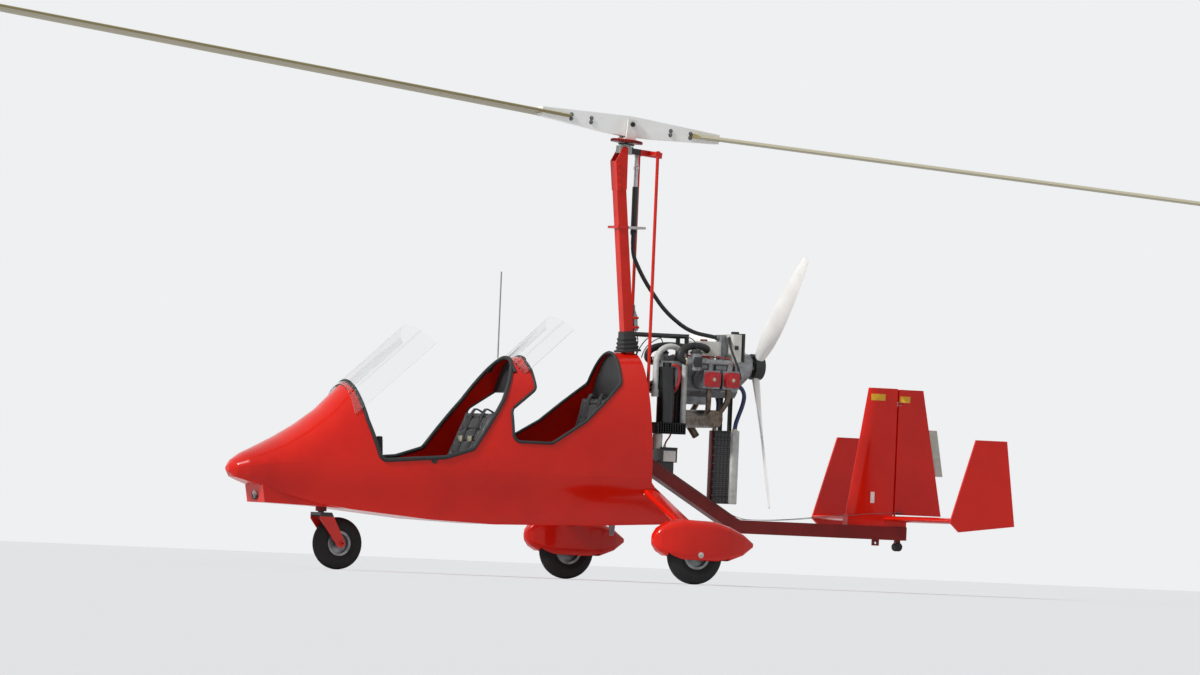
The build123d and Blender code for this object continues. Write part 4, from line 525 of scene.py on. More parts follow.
# Landing lamp: glass dome, bezel, bright bowl and bulb
LAMP = place(186, 0, 418)
lens = lathe(((-3, 35.5), (-7.5, 30), (-9.5, 20), (-10.5, 0), (-7.5, 0), (-6.6, 20), (-4.6, 29),
              (1, 33.5), (1, 35.5), (-3, 35.5)), LAMP, AFT, 40)
settle(lens, "lamp_glass", acrylic)
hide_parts("landing_lamp")
settle(lathe(((2, 33), (12, 31), (26, 24), (38, 12), (42, 0), (44, 0), (40, 13),
              (28, 26), (13, 33), (2, 35), (2, 33)), LAMP, AFT, 40),
       "lamp_bowl", machined_alloy)
settle(lathe(((10, 0), (12, 6), (20, 8), (30, 5), (41, 5), (41, 0)), LAMP, AFT, 20),
       "lamp_bulb", white_poly)
settle(ring(LAMP + Vector((-0.004, 0, 0)), AFT, 34.5, 40, 3.2, 1.2, 40),
       "lamp_bezel", black_abs)


def ribbed_tyre(name, centre, radius, half, rim, body):
    """Low-pressure tyre: a rounded tread with grooves, then sidewall ring and bead."""
    crown = [(-0.5, -6), (-0.36, -1.6), (-0.33, -4.8), (-0.28, -4.8), (-0.25, -0.9), (-0.045, 0),
             (-0.03, -4.4), (0.03, -4.4), (0.045, 0), (0.25, -0.9), (0.28, -4.8), (0.33, -4.8), (0.36, -1.6),
             (0.5, -6)]
    wall = [(0.72, -14), (0.9, -30), (0.985, -46), (0.97, -56), (0.93, -58), (0.9, -64)]
    tread = [(share * half, radius + drop) for share, drop in crown]
    flank = [(share * half, radius + drop) for share, drop in wall if radius + drop > rim + 6]
    flank += [(0.62 * half, rim + 3), (0.55 * half, rim + 0.4)]
    whole = [(-along, out) for along, out in reversed(flank)] + tread + flank
    tyre = settle(lathe(whole + [whole[0]], centre, (0, 1, 0), 72), name, tyre_rubber, body)
    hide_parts(name.replace("tread", "tyre"))


# Tyres and rim lips, one set for each wheel
AXLE_AFT = 2595
AXLE_HEIGHT = 170
WHEELS = (
    # tyre piece, aft of the nose, Y, axle height, tyre radius, half width, rim radius, body
    ("main_tread_left", AXLE_AFT, -820, AXLE_HEIGHT, 170, 52, 78, "main_wheel_left"),
    ("main_tread_right", AXLE_AFT, 820, AXLE_HEIGHT, 170, 52, 78, "main_wheel_right"),
    ("nose_tread", 714, 0, 150, 150, 46, 66, "nose_wheel"),
)
for name, aft, y, z, radius, half, rim, body in WHEELS:
    hub = place(aft, y, z)
    ribbed_tyre(name, hub, radius, half, rim, body)
    lips = [ring(hub + Vector((0, side * 0.62 * half * MM, 0)), (0, 1, 0), rim - 9, rim + 7, 2.2, 1.4, 48)
            for side in (-1, 1)]
    settle(join(lips), name.replace("tread", "rim_lips"), cast_alloy, body)


def rim_edging(name, panels, is_rim, radius_mm):
    """Rubber edging: keeps the outer edge of the panels' cut faces and gives it a round section."""
    strip = skin_copy(name, panels, 0.2)
    bpy.ops.mesh.select_all(action="DESELECT")
    bpy.ops.mesh.select_mode(type="EDGE")
    bpy.ops.object.mode_set(mode="OBJECT")
    mesh = strip.data
    beside = {}
    for face in mesh.polygons:
        for key in face.edge_keys:
            beside.setdefault(key, []).append(face)
    for edge in mesh.edges:
        faces = beside.get(edge.key, [])
        cut = [face for face in faces if abs(face.normal.y) < 0.002 and is_rim(face.center)]
        skin = [face for face in faces if face not in cut]
        middle = (mesh.vertices[edge.vertices[0]].co + mesh.vertices[edge.vertices[1]].co) / 2
        out = Vector((0, middle.y, middle.z - POD_MIDDLE_Z))
        edge.select = len(cut) == 1 and len(skin) == 1 and skin[0].normal.dot(out) > 0.0
    bpy.ops.object.mode_set(mode="EDIT")
    bpy.ops.mesh.select_all(action="INVERT")
    bpy.ops.mesh.delete(type="EDGE")
    bpy.ops.mesh.delete_loose(use_verts=True, use_edges=False, use_faces=False)
    bpy.ops.mesh.select_all(action="SELECT")
    bpy.ops.mesh.remove_doubles(threshold=MM)
    bpy.ops.object.mode_set(mode="OBJECT")
    bpy.ops.object.convert(target="CURVE")
    curve = bpy.context.object.data
    curve.bevel_depth = radius_mm * MM
    curve.bevel_resolution = 3
    curve.use_fill_caps = True
    return settle(bpy.context.object, name, hose_rubber)


# Height of the pod's middle, in metres: skin that faces away from it is the outer skin
POD_MIDDLE_Z = 0.6
# Edges of the cockpit openings in side view, aft of the nose or above the ground, in millimetres
SILL_TOP = 606
COWL_JOINTS = (1320, 1720)
HUMP_END = (1725, 1745)
HUMP_TOP = 1200
REAR_OPENING = (1640, 2430)
# The screen frame's foot, aft of the nose and above the ground, and how far aft it leans as it rises
FRAME_FOOT = (1425, 722)
FRAME_SLOPE = 0.6485


def rim_place(centre):
    """Millimetres aft of the nose and above the ground, and how far aft the sloped frame is there."""
    z = centre.z * 1000
    return (centre.x - NOSE_X) * 1000, z, FRAME_FOOT[0] + FRAME_SLOPE * (z - FRAME_FOOT[1])


def on_front_rim(centre):
    """Whether a cut face with this centre is on the front cockpit's rim."""
    aft, z, frame_aft = rim_place(centre)
    start, end = HUMP_END
    sill = z > SILL_TOP and abs(aft - COWL_JOINTS[0]) > 1 and aft < min(start, frame_aft)
    return sill or start < aft < end and z > HUMP_TOP


def on_rear_rim(centre):
    """Whether a cut face with this centre is on the rear cockpit's rim."""
    aft, z, frame_aft = rim_place(centre)
    start, end = REAR_OPENING
    return z > SILL_TOP and abs(aft - COWL_JOINTS[1]) > 1 and max(start, frame_aft) < aft < end


rim_edging("front_rim_edging", ("nose_cowl", "cockpit_hump", "aft_cowl"), on_front_rim, 12)
rim_edging("rear_rim_edging", ("cockpit_hump", "aft_cowl"), on_rear_rim, 9)


def seen_surface(panels, aft, z, side):
    """The point of the outer skin at a place in side view, with its normal."""
    origin = Vector((at(aft), side * 2, z * MM))
    best = None
    for panel in panels:
        hit, spot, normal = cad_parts[panel].ray_cast(origin, Vector((0, -side, 0)))[:3]
        if hit and (best is None or abs(spot.y) > abs(best[0].y)):
            best = (spot.copy(), normal.copy())
    return best


SHELL = ("pod_tub", "nose_cowl", "cockpit_hump", "aft_cowl")
# Screws along the cowls' joints, as (aft of the nose, height), and their slightly domed heads
SCREWS = [(700, 640), (860, 618), (1120, 625), (1300, 640), (1340, 640), (1500, 625), (1700, 640),
          (1740, 640), (1740, 720), (1950, 625), (2150, 625), (2350, 625)]
SCREWS += [(2545, z) for z in (640, 760, 880, 1000, 1120, 1220)]
SCREWS += [(520, 640), (380, 640), (240, 625), (1474, 673)]
DOME = ((-1, 0), (-1, 4), (0.6, 4), (1.3, 3.2), (1.7, 1.2), (1.7, 0))
screws = []
for side in (-1, 1):
    for aft, z in SCREWS:
        found = seen_surface(SHELL, aft, z, side)
        if found:
            screws.append(lathe(DOME, *found, 16))
settle(join(screws), "shell_screws", powder_red)
LATCH = ((-2, 0), (-2, 17), (2, 17), (3.5, 15), (3.5, 9), (6, 8), (6, 0))
latches = [lathe(LATCH, *seen_surface(SHELL, 1153, 645, side), 28) for side in (-1, 1)]
settle(join(latches), "cowl_latches", black_abs)

# Axle washer and nut on each spat's outer side
SPAT_FACE = 901.5
for side, label in ((-1, "left"), (1, "right")):
    hub = place(AXLE_AFT, side * SPAT_FACE, AXLE_HEIGHT)
    settle(lathe(((-1, 0), (-1, 17), (1.5, 17), (2.5, 15.5), (2.5, 0)), hub, (0, side, 0), 32),
           "spat_washer_" + label, machined_alloy)
    settle(lathe(((0, 0), (0, 10.5), (8, 10.5), (10, 8.8), (10, 0)), hub, (0, side, 0), 6),
           "spat_nut_" + label, zinc_plate)

# Seat pads: foam under vinyl, swollen by cloth pressure, then drawn in along sewn channels
PAD_START_MM = 7
PAD_GRID_MM = 6
SWELL_PRESSURE = 4.0
SWELL_FRAMES = 20
SWELL_LIMIT_MM = 11
SEAM_DEPTH_MM = 6.5
SEAM_REACH_MM = 5.0


def stuffed_pads(node_name, rows):
    """Splits a copy of the CAD solids, lets each swell and sews its channels."""
    skin_copy(node_name, (node_name,), 0.1)
    bpy.ops.mesh.separate(type="LOOSE")
    bpy.ops.object.mode_set(mode="OBJECT")
    pads = sorted(bpy.context.selected_objects, key=lambda pad: min(v.co.x for v in pad.data.vertices))
    for pad, (name, foot, top, lines, borders) in zip(pads, rows):
        take_up(pad)
        bpy.ops.object.mode_set(mode="EDIT")
        bpy.ops.mesh.select_all(action="SELECT")
        bpy.ops.transform.shrink_fatten(value=-PAD_START_MM * MM)
        bpy.ops.object.mode_set(mode="OBJECT")
        work(pad, "REMESH", mode="VOXEL", voxel_size=PAD_GRID_MM * MM)
        swell_up(pad)
        work(pad, "SUBSURF", levels=1, render_levels=1)
        sew_channels(pad, foot, top, lines, borders)
        settle(pad, name, seat_vinyl)
        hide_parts(node_name)


def swell_up(pad):
    """Some frames of cloth pressure without gravity, each point's movement limited."""
    cloth = pad.modifiers.new("Cloth", "CLOTH")
    cloth.settings.use_pressure = True
    cloth.settings.uniform_pressure_force = SWELL_PRESSURE
    cloth.settings.effector_weights.gravity = 0.0
    cloth.point_cache.frame_start, cloth.point_cache.frame_end = 1, SWELL_FRAMES
    rest = [vertex.co.copy() for vertex in pad.data.vertices]
    for step in range(SWELL_FRAMES):
        bpy.context.scene.frame_set(step + 1)
    swollen = pad.evaluated_get(bpy.context.evaluated_depsgraph_get()).data
    moved = [vertex.co.copy() for vertex in swollen.vertices]
    pad.modifiers.remove(cloth)
    for vertex, start, end in zip(pad.data.vertices, rest, moved):
        shift = end - start
        vertex.co = start + shift * min(1, SWELL_LIMIT_MM * MM / max(shift.length, 1e-9))
    pad.data.update()
    bpy.context.scene.frame_set(1)


def sew_channels(pad, foot, top, lines, borders):
    """Draws the sitting face in along seams: across it at shares of its length, and along two borders."""
    length = (top - foot).length
    along = (top - foot) / length
    face = Vector((-along.z, 0, along.x))
    if face.z < 0 or abs(face.z) < 0.2 and face.x > 0:
        face = -face
    normals = [vertex.normal.copy() for vertex in pad.data.vertices]
    for vertex, normal in zip(pad.data.vertices, normals):
        if normal.dot(face) < 0.55:
            continue
        u = (vertex.co - foot).dot(along) / length
        side = abs(vertex.co.y) / MM
        pull = 0.0
        if side < borders + 3:
            pull = sum(exp(-((u - line) * length / MM / SEAM_REACH_MM) ** 2) for line in lines)
        if lines[0] - 0.02 < u < lines[-1] + 0.02:
            pull = max(pull, exp(-((side - borders) / SEAM_REACH_MM) ** 2))
        vertex.co -= face * SEAM_DEPTH_MM * MM * min(pull, 1)
    pad.data.update()


SEATS = (
    # name, cushion front and back aft of the nose, their top heights, backrest foot and top: aft, height
    ("front", 1060, 1400, 601, 586, (1400, 521), (1591, 950)),
    ("rear", 1880, 2210, 641, 626, (2210, 561), (2336, 1066)),
)
cushion_rows, back_rows = [], []
for name, front, back, front_z, back_z, foot, top in SEATS:
    cushion_rows.append(("seat_pad_" + name, place(front, 0, front_z), place(back, 0, back_z),
                         (0.2, 0.4, 0.6, 0.8), 135))
    back_rows.append(("back_pad_" + name, place(foot[0], 0, foot[1]), place(top[0], 0, top[1]),
                      (0.26, 0.42, 0.58, 0.74, 0.9), 125))
stuffed_pads("seat_cushions", cushion_rows)
stuffed_pads("seat_backs", back_rows)

# Belt webbing, and half the size of a slide adjuster
WEB_WIDTH_MM = 44
WEB_THICK_MM = 2.2
ADJUSTER = Vector((0.006, 0.027, 0.017))


def harness(name, back, seat_z, low, high):
    """Two shoulder straps and a lap strap, with buckle and adjusters, on a backrest from low to high."""
    along = (high - low).normalized()
    face = Vector((-along.z, 0, along.x))

    def on_back(share, lift_mm, y):
        return low + (high - low) * share + face * lift_mm * MM + Vector((0, y * MM, 0))

    straps, adjusters = [], []
    for side in (-1, 1):
        out = Vector((0, side * 0.07, 0))
        over = high - face * 0.075 + out
        path = [over - along * 0.07, over + along * 0.004, over + along * 0.014 + face * 0.03,
                high + along * 0.012 + out]
        path += [on_back(share, lift, side * y) for share, lift, y in (
            (0.97, 9, 70), (0.85, 8, 69), (0.66, 8, 64), (0.48, 8, 56), (0.33, 9, 47))]
        path += on_side(side, (back - 14, 38, seat_z + 24), (back - 50, 28, seat_z + 12),
                        (back - 84, 22, seat_z + 12))
        straps.append(webbing(path, WEB_WIDTH_MM, WEB_THICK_MM))
        lap = on_side(side, (back - 8, 206, seat_z - 40), (back - 30, 199, seat_z - 4),
                      (back - 55, 180, seat_z + 9), (back - 80, 130, seat_z + 12),
                      (back - 95, 80, seat_z + 13), (back - 105, 34, seat_z + 13))
        straps.append(webbing(lap, WEB_WIDTH_MM, WEB_THICK_MM, (1, 0, -0.04)))
        middle = on_back(0.6, 11, side * 61)
        adjusters.append(block(middle - ADJUSTER, middle + ADJUSTER, 2))
    settle(join(straps), "harness_webbing_" + name, belt_web)
    settle(join(adjusters), "harness_adjusters_" + name, zinc_plate)
    spot = place(back - 100, 0, seat_z + 19)
    buckle = block(spot - Vector((0.032, 0.034, 0.007)), spot + Vector((0.032, 0.034, 0.009)), 4)
    settle(buckle, "harness_buckle_" + name, black_abs)
    button = lathe(((0, 0), (0, 17), (3, 17), (4.5, 14), (4, 0)),
                   spot + Vector((0, 0, 0.009)), ABOVE, 28)
    settle(button, "harness_button_" + name, red_hose)


for name, front, back, front_z, back_z, foot, top in SEATS:
    harness(name, back, back_z, place(foot[0], 0, foot[1]), place(top[0], 0, top[1]))

# Instruments on both panels: bezels, faces, marks and needles
FRONT_PANEL = 754.4
REAR_PANEL = 1804.4
DIALS = (
    # panel face aft of the nose, Y, height, radius, needle angle
    (FRONT_PANEL, -110, 925, 40, 40), (FRONT_PANEL, 0, 925, 40, -60), (FRONT_PANEL, 110, 925, 40, 10),
    (FRONT_PANEL, -165, 835, 28, -30), (FRONT_PANEL, -95, 835, 28, 70), (FRONT_PANEL, -30, 835, 28, 20),
    (FRONT_PANEL, 35, 835, 28, -80), (FRONT_PANEL, 105, 835, 28, 0), (FRONT_PANEL, 170, 835, 28, 55),
    (REAR_PANEL, -80, 1125, 28, 30), (REAR_PANEL, 0, 1150, 38, -50), (REAR_PANEL, 80, 1125, 28, 65),
)
# Half the size of a printed mark, and how far its middle stands inside the dial's edge
MARK = Vector((0.0004, 0.0007, 0.0026))
MARK_INSET = 8.5
bezels, faces, marks = [], [], []
for aft, y, z, radius, turn in DIALS:
    middle = place(aft, y, z)
    bezels.append(ring(middle + Vector((0.003, 0, 0)), AFT, radius - 5, radius + 1, 3.4, 1, 36))
    faces.append(lathe(((-1, 0), (-1, radius - 4), (1, radius - 4), (1.2, 0)), middle, AFT, 30))
    for hour in range(12):
        angle = radians(hour * 30)
        spot = middle + Vector((0.0016, sin(angle) * (radius - MARK_INSET) * MM,
                                cos(angle) * (radius - MARK_INSET) * MM))
        mark = block(spot - MARK, spot + MARK, 0.1, 1)
        mark.rotation_euler = (-angle, 0, 0)
        marks.append(mark)
    reach = Vector((0, sin(radians(turn)), cos(radians(turn)))) * (radius - 12) * MM
    needle = block(middle + reach / 2 + Vector((0.0018, -0.0009, -reach.length / 2)),
                   middle + reach / 2 + Vector((0.0026, 0.0009, reach.length / 2)), 0.2, 1)
    needle.rotation_euler = (-radians(turn), 0, 0)
    marks.append(needle)
settle(join(bezels), "dial_bezels", black_coat)
settle(join(faces), "dial_faces", hose_rubber)
settle(join(marks), "dial_marks", white_poly)
TOGGLE = ((-2, 0), (-2, 6), (3, 6), (5, 4), (8, 2.2), (18, 2.6), (20, 1.4), (20, 0))
switches = [lathe(TOGGLE, place(756, y, 775), Vector((1, 0, 0.35)), 14) for y in range(-125, 126, 50)]
settle(join(switches), "panel_switches", machined_alloy)

# Stick grips with finger ridges and a gaiter at each foot
for row, aft in enumerate((980, 1800), 1):
    foot, tip = place(aft - 20, 0, 657), place(aft - 26, 0, 771)
    grip = [(0, 0), (0, 19)]
    for step in range(7):
        grip += [(8 + step * 14, 20.5), (15 + step * 14, 18.4)]
    grip += [(112, 19.5), (117, 14), (118.5, 0)]
    settle(lathe(grip, foot, tip - foot, 28), f"stick_grip_{row}", hose_rubber)
    gaiter = [(0, 12), (0, 34)]
    for step in range(5):
        gaiter += [(5 + step * 10, 34 - step * 4), (10 + step * 10, 27 - step * 3.2)]
    gaiter += [(56, 12.5), (0, 12)]
    settle(lathe(gaiter, place(aft, 0, 470), (-0.09, 0, 1), 28), f"stick_gaiter_{row}", hose_rubber)

# Rotor head: its shaft leans aft, and the hub's middle stands at this height
SHAFT = radians(5.2)
HUB_HEIGHT = 2626
UP = Vector((sin(SHAFT), 0, cos(SHAFT)))


def on_hub(x, y, z):
    """A point given in millimetres in the tilted frame of the rotor hub."""
    return Vector((x * cos(SHAFT) + z * sin(SHAFT), y, HUB_HEIGHT - x * sin(SHAFT) + z * cos(SHAFT))) * MM


# Bolts through the hub bar, as (along it, height of its middle), and down the leaning mast head, by height
HUB_BOLTS = ((-390, 12), (-260, 9.8), (260, 9.8), (390, 12))
HEAD_BOLTS = (2290, 2330, 2370, 2410)
# A point on the mast head's middle line, as X and height, and how far the line leans ahead as it rises
HEAD_POINT = (-60, 2300)
HEAD_LEAN = 0.104
for side, label in SIDES:
    points = []
    for x, mid in HUB_BOLTS:
        points += [on_hub(x, side * 32, mid - 14), on_hub(x, side * 32, mid + 10)]
    hexagon_bolts("hub_bar_bolts_" + label, points, (0, side, 0), 15, 8, "rotor", dark_steel)
    points = [Vector(((HEAD_POINT[0] - (z - HEAD_POINT[1]) * HEAD_LEAN) * MM, side * 38 * MM, z * MM))
              for z in HEAD_BOLTS]
    hexagon_bolts("mast_head_bolts_" + label, points, (0, side, 0), 13, 7, "root", powder_red)
settle(lathe(((0.4, 42), (0.4, 91), (2.4, 91), (3.2, 88), (3.2, 44), (2.4, 42), (0.4, 42)),
             on_hub(0, 0, -74), UP, 64), "ring_cover", powder_red, "rotor_spindle")
settle(ring(on_hub(0, 0, -96), UP, 44.3, 47, 4, 1, 48), "bearing_seal", hose_rubber,
       "rotor_head")

# Guard round the drive sleeve's spline, and the ferrule where the flexible shaft leaves the sleeve
SLEEVE_X = 0.093
SLEEVE_Y = 0.06
settle(lathe(((0, 7.4), (0, 12), (96, 12), (100, 15.5), (116, 15.5), (120, 12),
              (172, 10), (172, 7.4), (0, 7.4)), Vector((SLEEVE_X, SLEEVE_Y, 2.2905)), ABOVE, 32),
       "spline_guard", machined_alloy)
settle(lathe(((0, 9), (0, 13.5), (60, 13.5), (63, 17), (66, 17), (69, 20), (74, 20),
              (78, 17.8), (78, 9), (0, 9)), Vector((SLEEVE_X, SLEEVE_Y, 1.955)), ABOVE, 32),
       "flex_shaft_ferrule", black_abs)

# Yellow bars near the tips of fin and rudder, and a white plate on the fin's foot: film cut from skin copies
FILMS = (
    # piece, CAD node, body, limits aft of the nose and above the ground, finish
    ("fin_bar", "fin", "root", (4130, 4222), (1121, 1159), yellow_film),
    ("rudder_bar", "rudder", "rudder", (4320, 4392), (1114, 1151), yellow_film),
    ("fin_plate", "fin", "root", (4150, 4176), (520, 585), white_film),
)
for name, node_name, body, (fore, aft), (bottom, top), film in FILMS:
    skin = skin_copy(name, (node_name,), 0.02)
    for point, normal in ((place(fore, 0, 0), (-1, 0, 0)), (place(aft, 0, 0), AFT),
                          (place(0, 0, bottom), (0, 0, -1)), (place(0, 0, top), ABOVE)):
        bpy.ops.mesh.select_all(action="SELECT")
        bpy.ops.mesh.bisect(plane_co=point, plane_no=normal, clear_outer=True)
    bpy.ops.mesh.select_all(action="SELECT")
    bpy.ops.transform.shrink_fatten(value=0.5 * MM)
    bpy.ops.object.mode_set(mode="OBJECT")
    work(skin, "SOLIDIFY", thickness=0.4 * MM, offset=0.0)
    settle(skin, name, film, body)

# Rudder horn, its cables along the boom and the sleeve on the tail bumper
settle(block(place(4322, -64, 462), place(4350, 64, 467), 1.6), "rudder_horn", black_coat,
       "rudder")
for side, label in SIDES:
    cable = hose_run("rudder_cable_" + label, on_side(
        side, (4336, 58, 468.5), (4200, 57, 464), (3900, 50, 430), (3600, 44, 396), (3400, 42, 388),
        (3265, 42, 392), (3100, 42, 480), (2900, 42, 592), (2760, 42, 670)), 1.6, dark_steel)
    cable.parent = None
    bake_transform(cable)
settle(lathe(((-21, 0), (-21, 25.5), (21, 25.5), (21, 0)), place(4350, 0, 268), (0, 1, 0), 32),
       "bumper_sleeve", hose_rubber)

# Rubber boot round the leaning mast where it leaves the cowl, with the rotor brake's cylinder behind it
MAST_LEAN = radians(5.96)
MAST_SLOPE = 0.1044
UP_MAST = Vector((-sin(MAST_LEAN), 0, cos(MAST_LEAN)))
MAST_FOOT_AFT = 2626
MAST_FOOT_Z = 375
BOOT_Z = 1330
foot = Vector((at(MAST_FOOT_AFT) - (BOOT_Z - MAST_FOOT_Z) * MM * MAST_SLOPE, 0, BOOT_Z * MM))
boot = lathe(((0, 43.4), (0, 84), (10, 84), (18, 66), (28, 73), (40, 61), (52, 68),
              (64, 57), (76, 63), (88, 53), (116, 51), (120, 48), (120, 43.4),
              (0, 43.4)), foot, UP_MAST, 4, (1, 1, 0))
work(boot, "BEVEL", width=4 * MM, segments=2, limit_method="ANGLE")
settle(boot, "mast_boot", hose_rubber)
pump = foot + UP_MAST * 0.125 + Vector((0.052, -0.012, 0))
settle(lathe(((0, 0), (0, 14), (8, 16), (90, 16), (96, 12), (118, 6), (150, 6),
              (152, 0)), pump, UP_MAST, 28), "rotor_brake_cylinder", cast_alloy)
clips = []
for height in (0.02, 0.075):
    spot = pump + UP_MAST * height
    clips.append(block(spot - Vector((0.024, 0.018, 0.007)), spot + Vector((0.018, 0.018, 0.007)), 2))
settle(join(clips), "rotor_brake_clips", powder_red)
hose_run("rotor_brake_line", [
    pump + UP_MAST * 0.004, pump + Vector((0.02, -0.01, -0.05)), pump + Vector((0, -0.02, -0.1)),
    foot + Vector((0.03, -0.06, -0.02))], 3, hose_rubber)

# Engine sides: air hoses, carburettor tops, throttle cables, plug caps with their leads, and cooling hoses
CYLINDERS = (2958, 3083)
STAGGER = 26
for side, label in SIDES:
    offset = STAGGER if side > 0 else 0
    hose_run("air_hose_" + label, on_side(
        side, (2800, 213, 1290), (2776, 213, 1291), (2762, 212, 1318), (2776, 206, 1356), (2830, 192, 1378),
        (2900, 168, 1384), (2960, 130, 1376), (2992, 100, 1366), (2994, 84, 1364)),
        21, hose_rubber)
    low, high = on_side(side, (2795, 213, 1290), (2993, 93, 1365))
    clamps = [ring(low, AFT, 21.2, 25, 5, 0.8), ring(high, (0.05, -side, 0), 21.2, 24.5, 5, 0.8)]
    settle(join(clamps), "air_hose_clamps_" + label, zinc_plate)
    settle(lathe(((0, 0), (0, 36), (4, 37), (9, 36), (13, 30), (22, 26), (24, 0)),
                 place(2865, side * 213, 1336), ABOVE, 36),
           "carburettor_cap_" + label, black_abs)
    inner, outer = sorted((side * 232, side * 252))
    settle(block(place(2840, inner, 1258), place(2890, outer, 1316), 5),
           "carburettor_cover_" + label, black_coat)
    hose_run("throttle_cable_" + label, on_side(
        side, (2865, 213, 1358), (2864, 210, 1402), (2830, 190, 1430), (2760, 130, 1436), (2690, 70, 1420),
        (2640, 42, 1380), (2612, 36, 1340), (2600, 36, 1300)), 3, hose_rubber)
    plugs = []
    for row, cylinder in enumerate(CYLINDERS):
        aft = cylinder + offset
        spot = place(aft + 36, side * 203, 1242)
        plugs.append(lathe(((0, 0), (0, 9), (7, 9), (8, 7.5), (30, 7.5), (34, 5),
                            (34, 0)), spot, (0, side * 0.1, 1), 20))
        apart = row * 18
        hose_run(f"plug_lead_{label}_{row + 1}", [
            spot + Vector((0, 0, 0.03)), spot + Vector((0.004, -side * 0.004, 0.052))] + on_side(
                side, (aft + 10, 172, 1318), (aft - 40, 130, 1322), (2870, 90 - apart, 1330),
                (2842, 60 - apart, 1322), (2832, 50 - apart, 1318)), 3.6, red_hose)
    settle(join(plugs), "plug_caps_" + label, hose_rubber)
    hose_run("coolant_hose_" + label, on_side(
        side, (3180, 128, 892), (3181, 129, 930), (3196, 136, 985), (3214, 152, 1050), (3212, 176, 1110),
        (3180, 194, 1150), (3150, 200, 1160), (3134, 202, 1162)), 12.5, blue_hose)
    settle(ring(place(3181, side * 128.5, 906), ABOVE, 12.7, 15.5, 5, 0.8), "coolant_clamp_" + label,
           zinc_plate)

# Ignition box, oil filter and return hose, filler caps, and the overflow hose
settle(block(place(2796, -66, 1288), place(2846, 66, 1322), 5), "ignition_box", black_abs)
hexagon_bolts("ignition_bolts", [place(aft, y, 1322) for aft in (2806, 2836) for y in (-54, 54)], ABOVE, 8, 4)
settle(lathe(((0, 0), (0, 34), (10, 38), (70, 38), (80, 35), (88, 24), (90, 0)),
             place(2791, 56, 1135), (-1, 0, 0), 36), "oil_filter", tank_coat)
hose_run("oil_return_hose", [
    place(2738, -160, 1262), place(2760, -176, 1267), place(2778, -184, 1240), place(2779, -184, 1200),
    place(2775, -180, 1160), place(2768, -170, 1130), place(2764, -150, 1110)],
    9, red_hose)
settle(lathe(((0, 0), (0, 21), (10, 22), (13, 20), (13, 0)), place(3036, 30, 1413.5), ABOVE,
             28), "airbox_cap", red_hose)
settle(lathe(((0, 0), (0, 24), (14, 24), (17, 21), (17, 0)), place(3206, -34, 1461), ABOVE,
             28), "coolant_cap", black_abs)
settle(block(place(3190, -71, 1372), place(3214, -66.5, 1396), 1.5),
       "coolant_window", black_abs)
hose_run("overflow_hose", [
    place(3190, -20, 1440), place(3170, -30, 1448), place(3150, -70, 1420), place(3150, -110, 1360),
    place(3160, -150, 1300), place(3170, -180, 1240), place(3170, -196, 1200)],
    7, hose_rubber)


def bolt_circle(x, z, radius, start, step):
    """Points round a shaft that runs aft, in metres, from one angle by equal steps in degrees."""
    turns = [radians(angle) for angle in range(start, start + 360, step)]
    return [Vector((x, radius * cos(turn), z + radius * sin(turn))) for turn in turns]


# Gearbox flange, and the propeller between its two plates
GEARBOX_HEIGHT = 1.21
PROPELLER_HEIGHT = 1.28
settle(ring(Vector((0.7325, 0, GEARBOX_HEIGHT)), AFT, 104, 118, 4.5, 1.5, 64), "gearbox_flange", cast_alloy)
hexagon_bolts("gearbox_bolts", bolt_circle(0.737, GEARBOX_HEIGHT, 0.1115, 15, 36), AFT, 8, 6)
for x, way, label in ((0.8655, -1, "front"), (0.9265, 1, "back")):
    bore = 23 if way < 0 else 0
    settle(lathe(((0, bore), (0, 62), (4, 62), (5.5, 60), (5.5, bore), (0, bore)),
                 Vector((x, 0, PROPELLER_HEIGHT)), (way, 0, 0), 48),
           "propeller_plate_" + label, black_coat, "propeller")
    hexagon_bolts("propeller_bolts_" + label, bolt_circle(x + way * 0.0055, PROPELLER_HEIGHT, 0.045, 13, 60),
                  (way, 0, 0), 13, 7, "propeller")

# Rocker covers: a raised panel and a bolt on each
covers = []
for side, label in SIDES:
    points = []
    for cylinder in CYLINDERS:
        x = at(cylinder) + (STAGGER * MM if side > 0 else 0)
        inner, outer = sorted((side * 272, side * 276))
        covers.append(block(Vector((x - 0.03, inner * MM, 1.16)), Vector((x + 0.03, outer * MM, 1.22)), 1.6))
        points.append(Vector((x, side * 0.276, 1.19)))
    hexagon_bolts("rocker_cover_bolts_" + label, points, (0, side, 0), 13, 6)
settle(join(covers), "rocker_cover_panels", cover_enamel)

# Radiator: end tanks, the port one grey and the other in the darker red coat, whose darkness is partly
# painted shade
for name, near, far, finish, slot in (("radiator_tank_port", -153, -122, pale_hose, "grey_hose"),
                                      ("radiator_tank_starboard", 108, 153, deeper_red_and_painted_shade, "dark_red_tube")):
    settle(block(place(3158, near, 474), place(3202, far, 901), 5), name, finish)

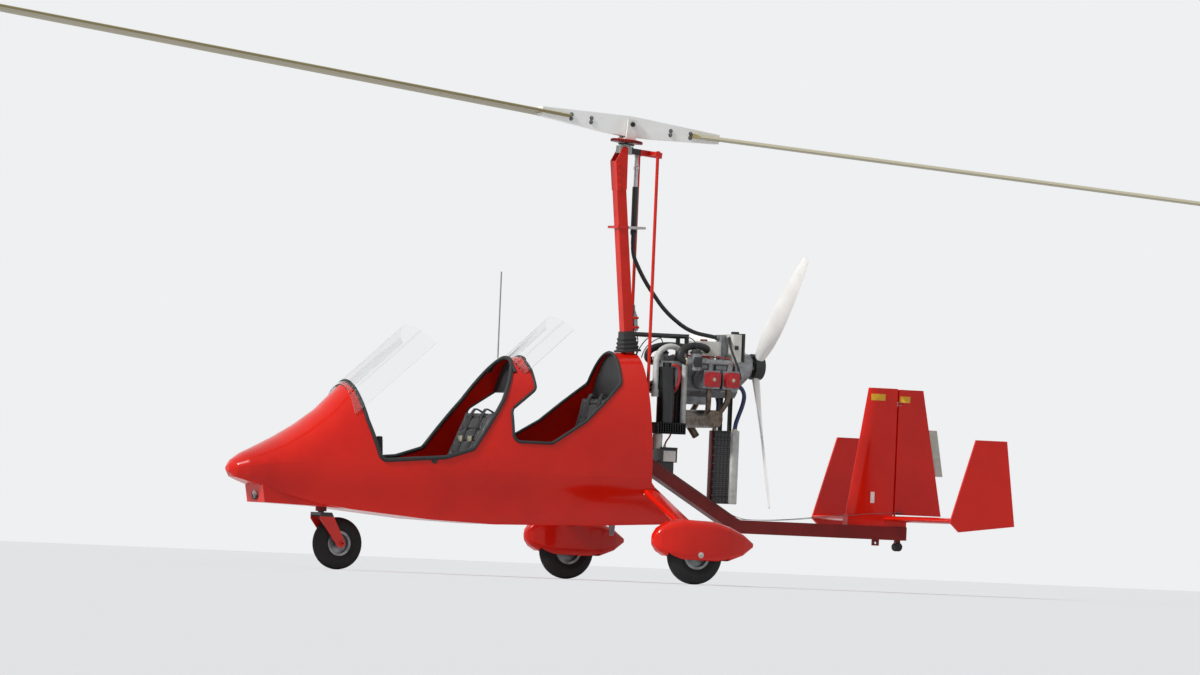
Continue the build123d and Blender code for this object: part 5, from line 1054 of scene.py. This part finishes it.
# Battery: lid, label, terminals and cables, and the catch bottle ahead of it
settle(block(place(2736, -72, 776), place(2844, 72, 788), 3), "battery_lid", black_abs)
settle(block(place(2752, -71.5, 706), place(2832, -69, 768), 1),
       "battery_label", white_film)
terminals = [lathe(((0, 0), (0, 9), (14, 7.5), (16, 0)), place(2770, y, 787), ABOVE, 20)
             for y in (-48, 48)]
settle(join(terminals), "battery_terminals", zinc_plate)
hose_run("battery_lead_red", [
    place(2770, -48, 800), place(2772, -56, 822), place(2790, -70, 850), place(2800, -80, 900),
    place(2800, -86, 980), place(2800, -80, 1060), place(2798, -70, 1110)], 5, red_hose)
hose_run("battery_lead_black", [
    place(2770, 48, 800), place(2772, 56, 825), place(2786, 66, 860), place(2796, 62, 920),
    place(2800, 60, 1000), place(2800, 58, 1080)], 5, hose_rubber)
settle(lathe(((0, 0), (0, 26), (4, 29), (84, 29), (92, 21), (96, 13), (110, 13),
              (112, 0)), place(2730, -30, 778), ABOVE, 32), "catch_bottle", white_poly)

# Camera: low in front of the port beam, with a long lens
CAMERA_AZIMUTH = radians(-26.89)
CAMERA_DISTANCE = 70.0
CAMERA_HEIGHT = 0.1
CAMERA_ROLL = radians(2.43)
LENS_MM = 362.52
AIM = Vector((-0.126, 0, 1.405))
camera = bpy.data.objects.new("camera", bpy.data.cameras.new("camera"))
bpy.context.collection.objects.link(camera)
camera.data.lens = LENS_MM
camera.data.clip_end = 1000.0
camera.location = (CAMERA_DISTANCE * sin(CAMERA_AZIMUTH), -CAMERA_DISTANCE * cos(CAMERA_AZIMUTH),
                   CAMERA_HEIGHT)
camera.rotation_mode = "QUATERNION"
level = (AIM - camera.location).to_track_quat("-Z", "Y")
camera.rotation_quaternion = level @ Matrix.Rotation(CAMERA_ROLL, 3, "Z").to_quaternion()
bpy.context.scene.camera = camera
bpy.context.scene.view_settings.view_transform = "Standard"

# Soft light: a dim world that camera, gloss and glass see as a pale room, and a wide sun
DIM_WORLD = (0.3, 0.305, 0.315, 1)
PALE_ROOM = (0.86, 0.87, 0.88, 1)
SUN_STRENGTH = 3.0
SUN_SPREAD = radians(10)
SUN_WAY = Vector((0.74, 0.13, -0.66))
world = bpy.data.worlds.new("studio")
bpy.context.scene.world = world
world.use_nodes = True
sky = world.node_tree
rays = node(sky, "LightPath")
seen = node(sky, "Math", {"operation": "MAXIMUM"}, {
    0: rays.outputs["Is Camera Ray"], 1: rays.outputs["Is Glossy Ray"]})
seen = node(sky, "Math", {"operation": "MAXIMUM"}, {
    0: seen.outputs[0], 1: rays.outputs["Is Transmission Ray"]})
tone = node(sky, "Mix", {"data_type": "RGBA", 6: DIM_WORLD, 7: PALE_ROOM}, {0: seen.outputs[0]})
sky.links.new(tone.outputs[2], sky.nodes["Background"].inputs["Color"])
sun = bpy.data.objects.new("sun", bpy.data.lights.new("sun", "SUN"))
sun.data.energy = SUN_STRENGTH
sun.data.angle = SUN_SPREAD
sun.rotation_mode = "QUATERNION"
sun.rotation_quaternion = SUN_WAY.to_track_quat("-Z", "Y")
bpy.context.collection.objects.link(sun)

# Plain pale floor that runs past the view
clear_selection()
bpy.ops.mesh.primitive_plane_add(size=600.0, location=(0, 0, 0))
floor = bpy.context.object
floor.name = "floor"
floor_finish = new_material("pale_floor", Roughness=0.9, Base_Color=linear("#E4E5E6"))[0]
floor.data.materials.append(floor_finish)
floor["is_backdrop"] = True

low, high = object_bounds()
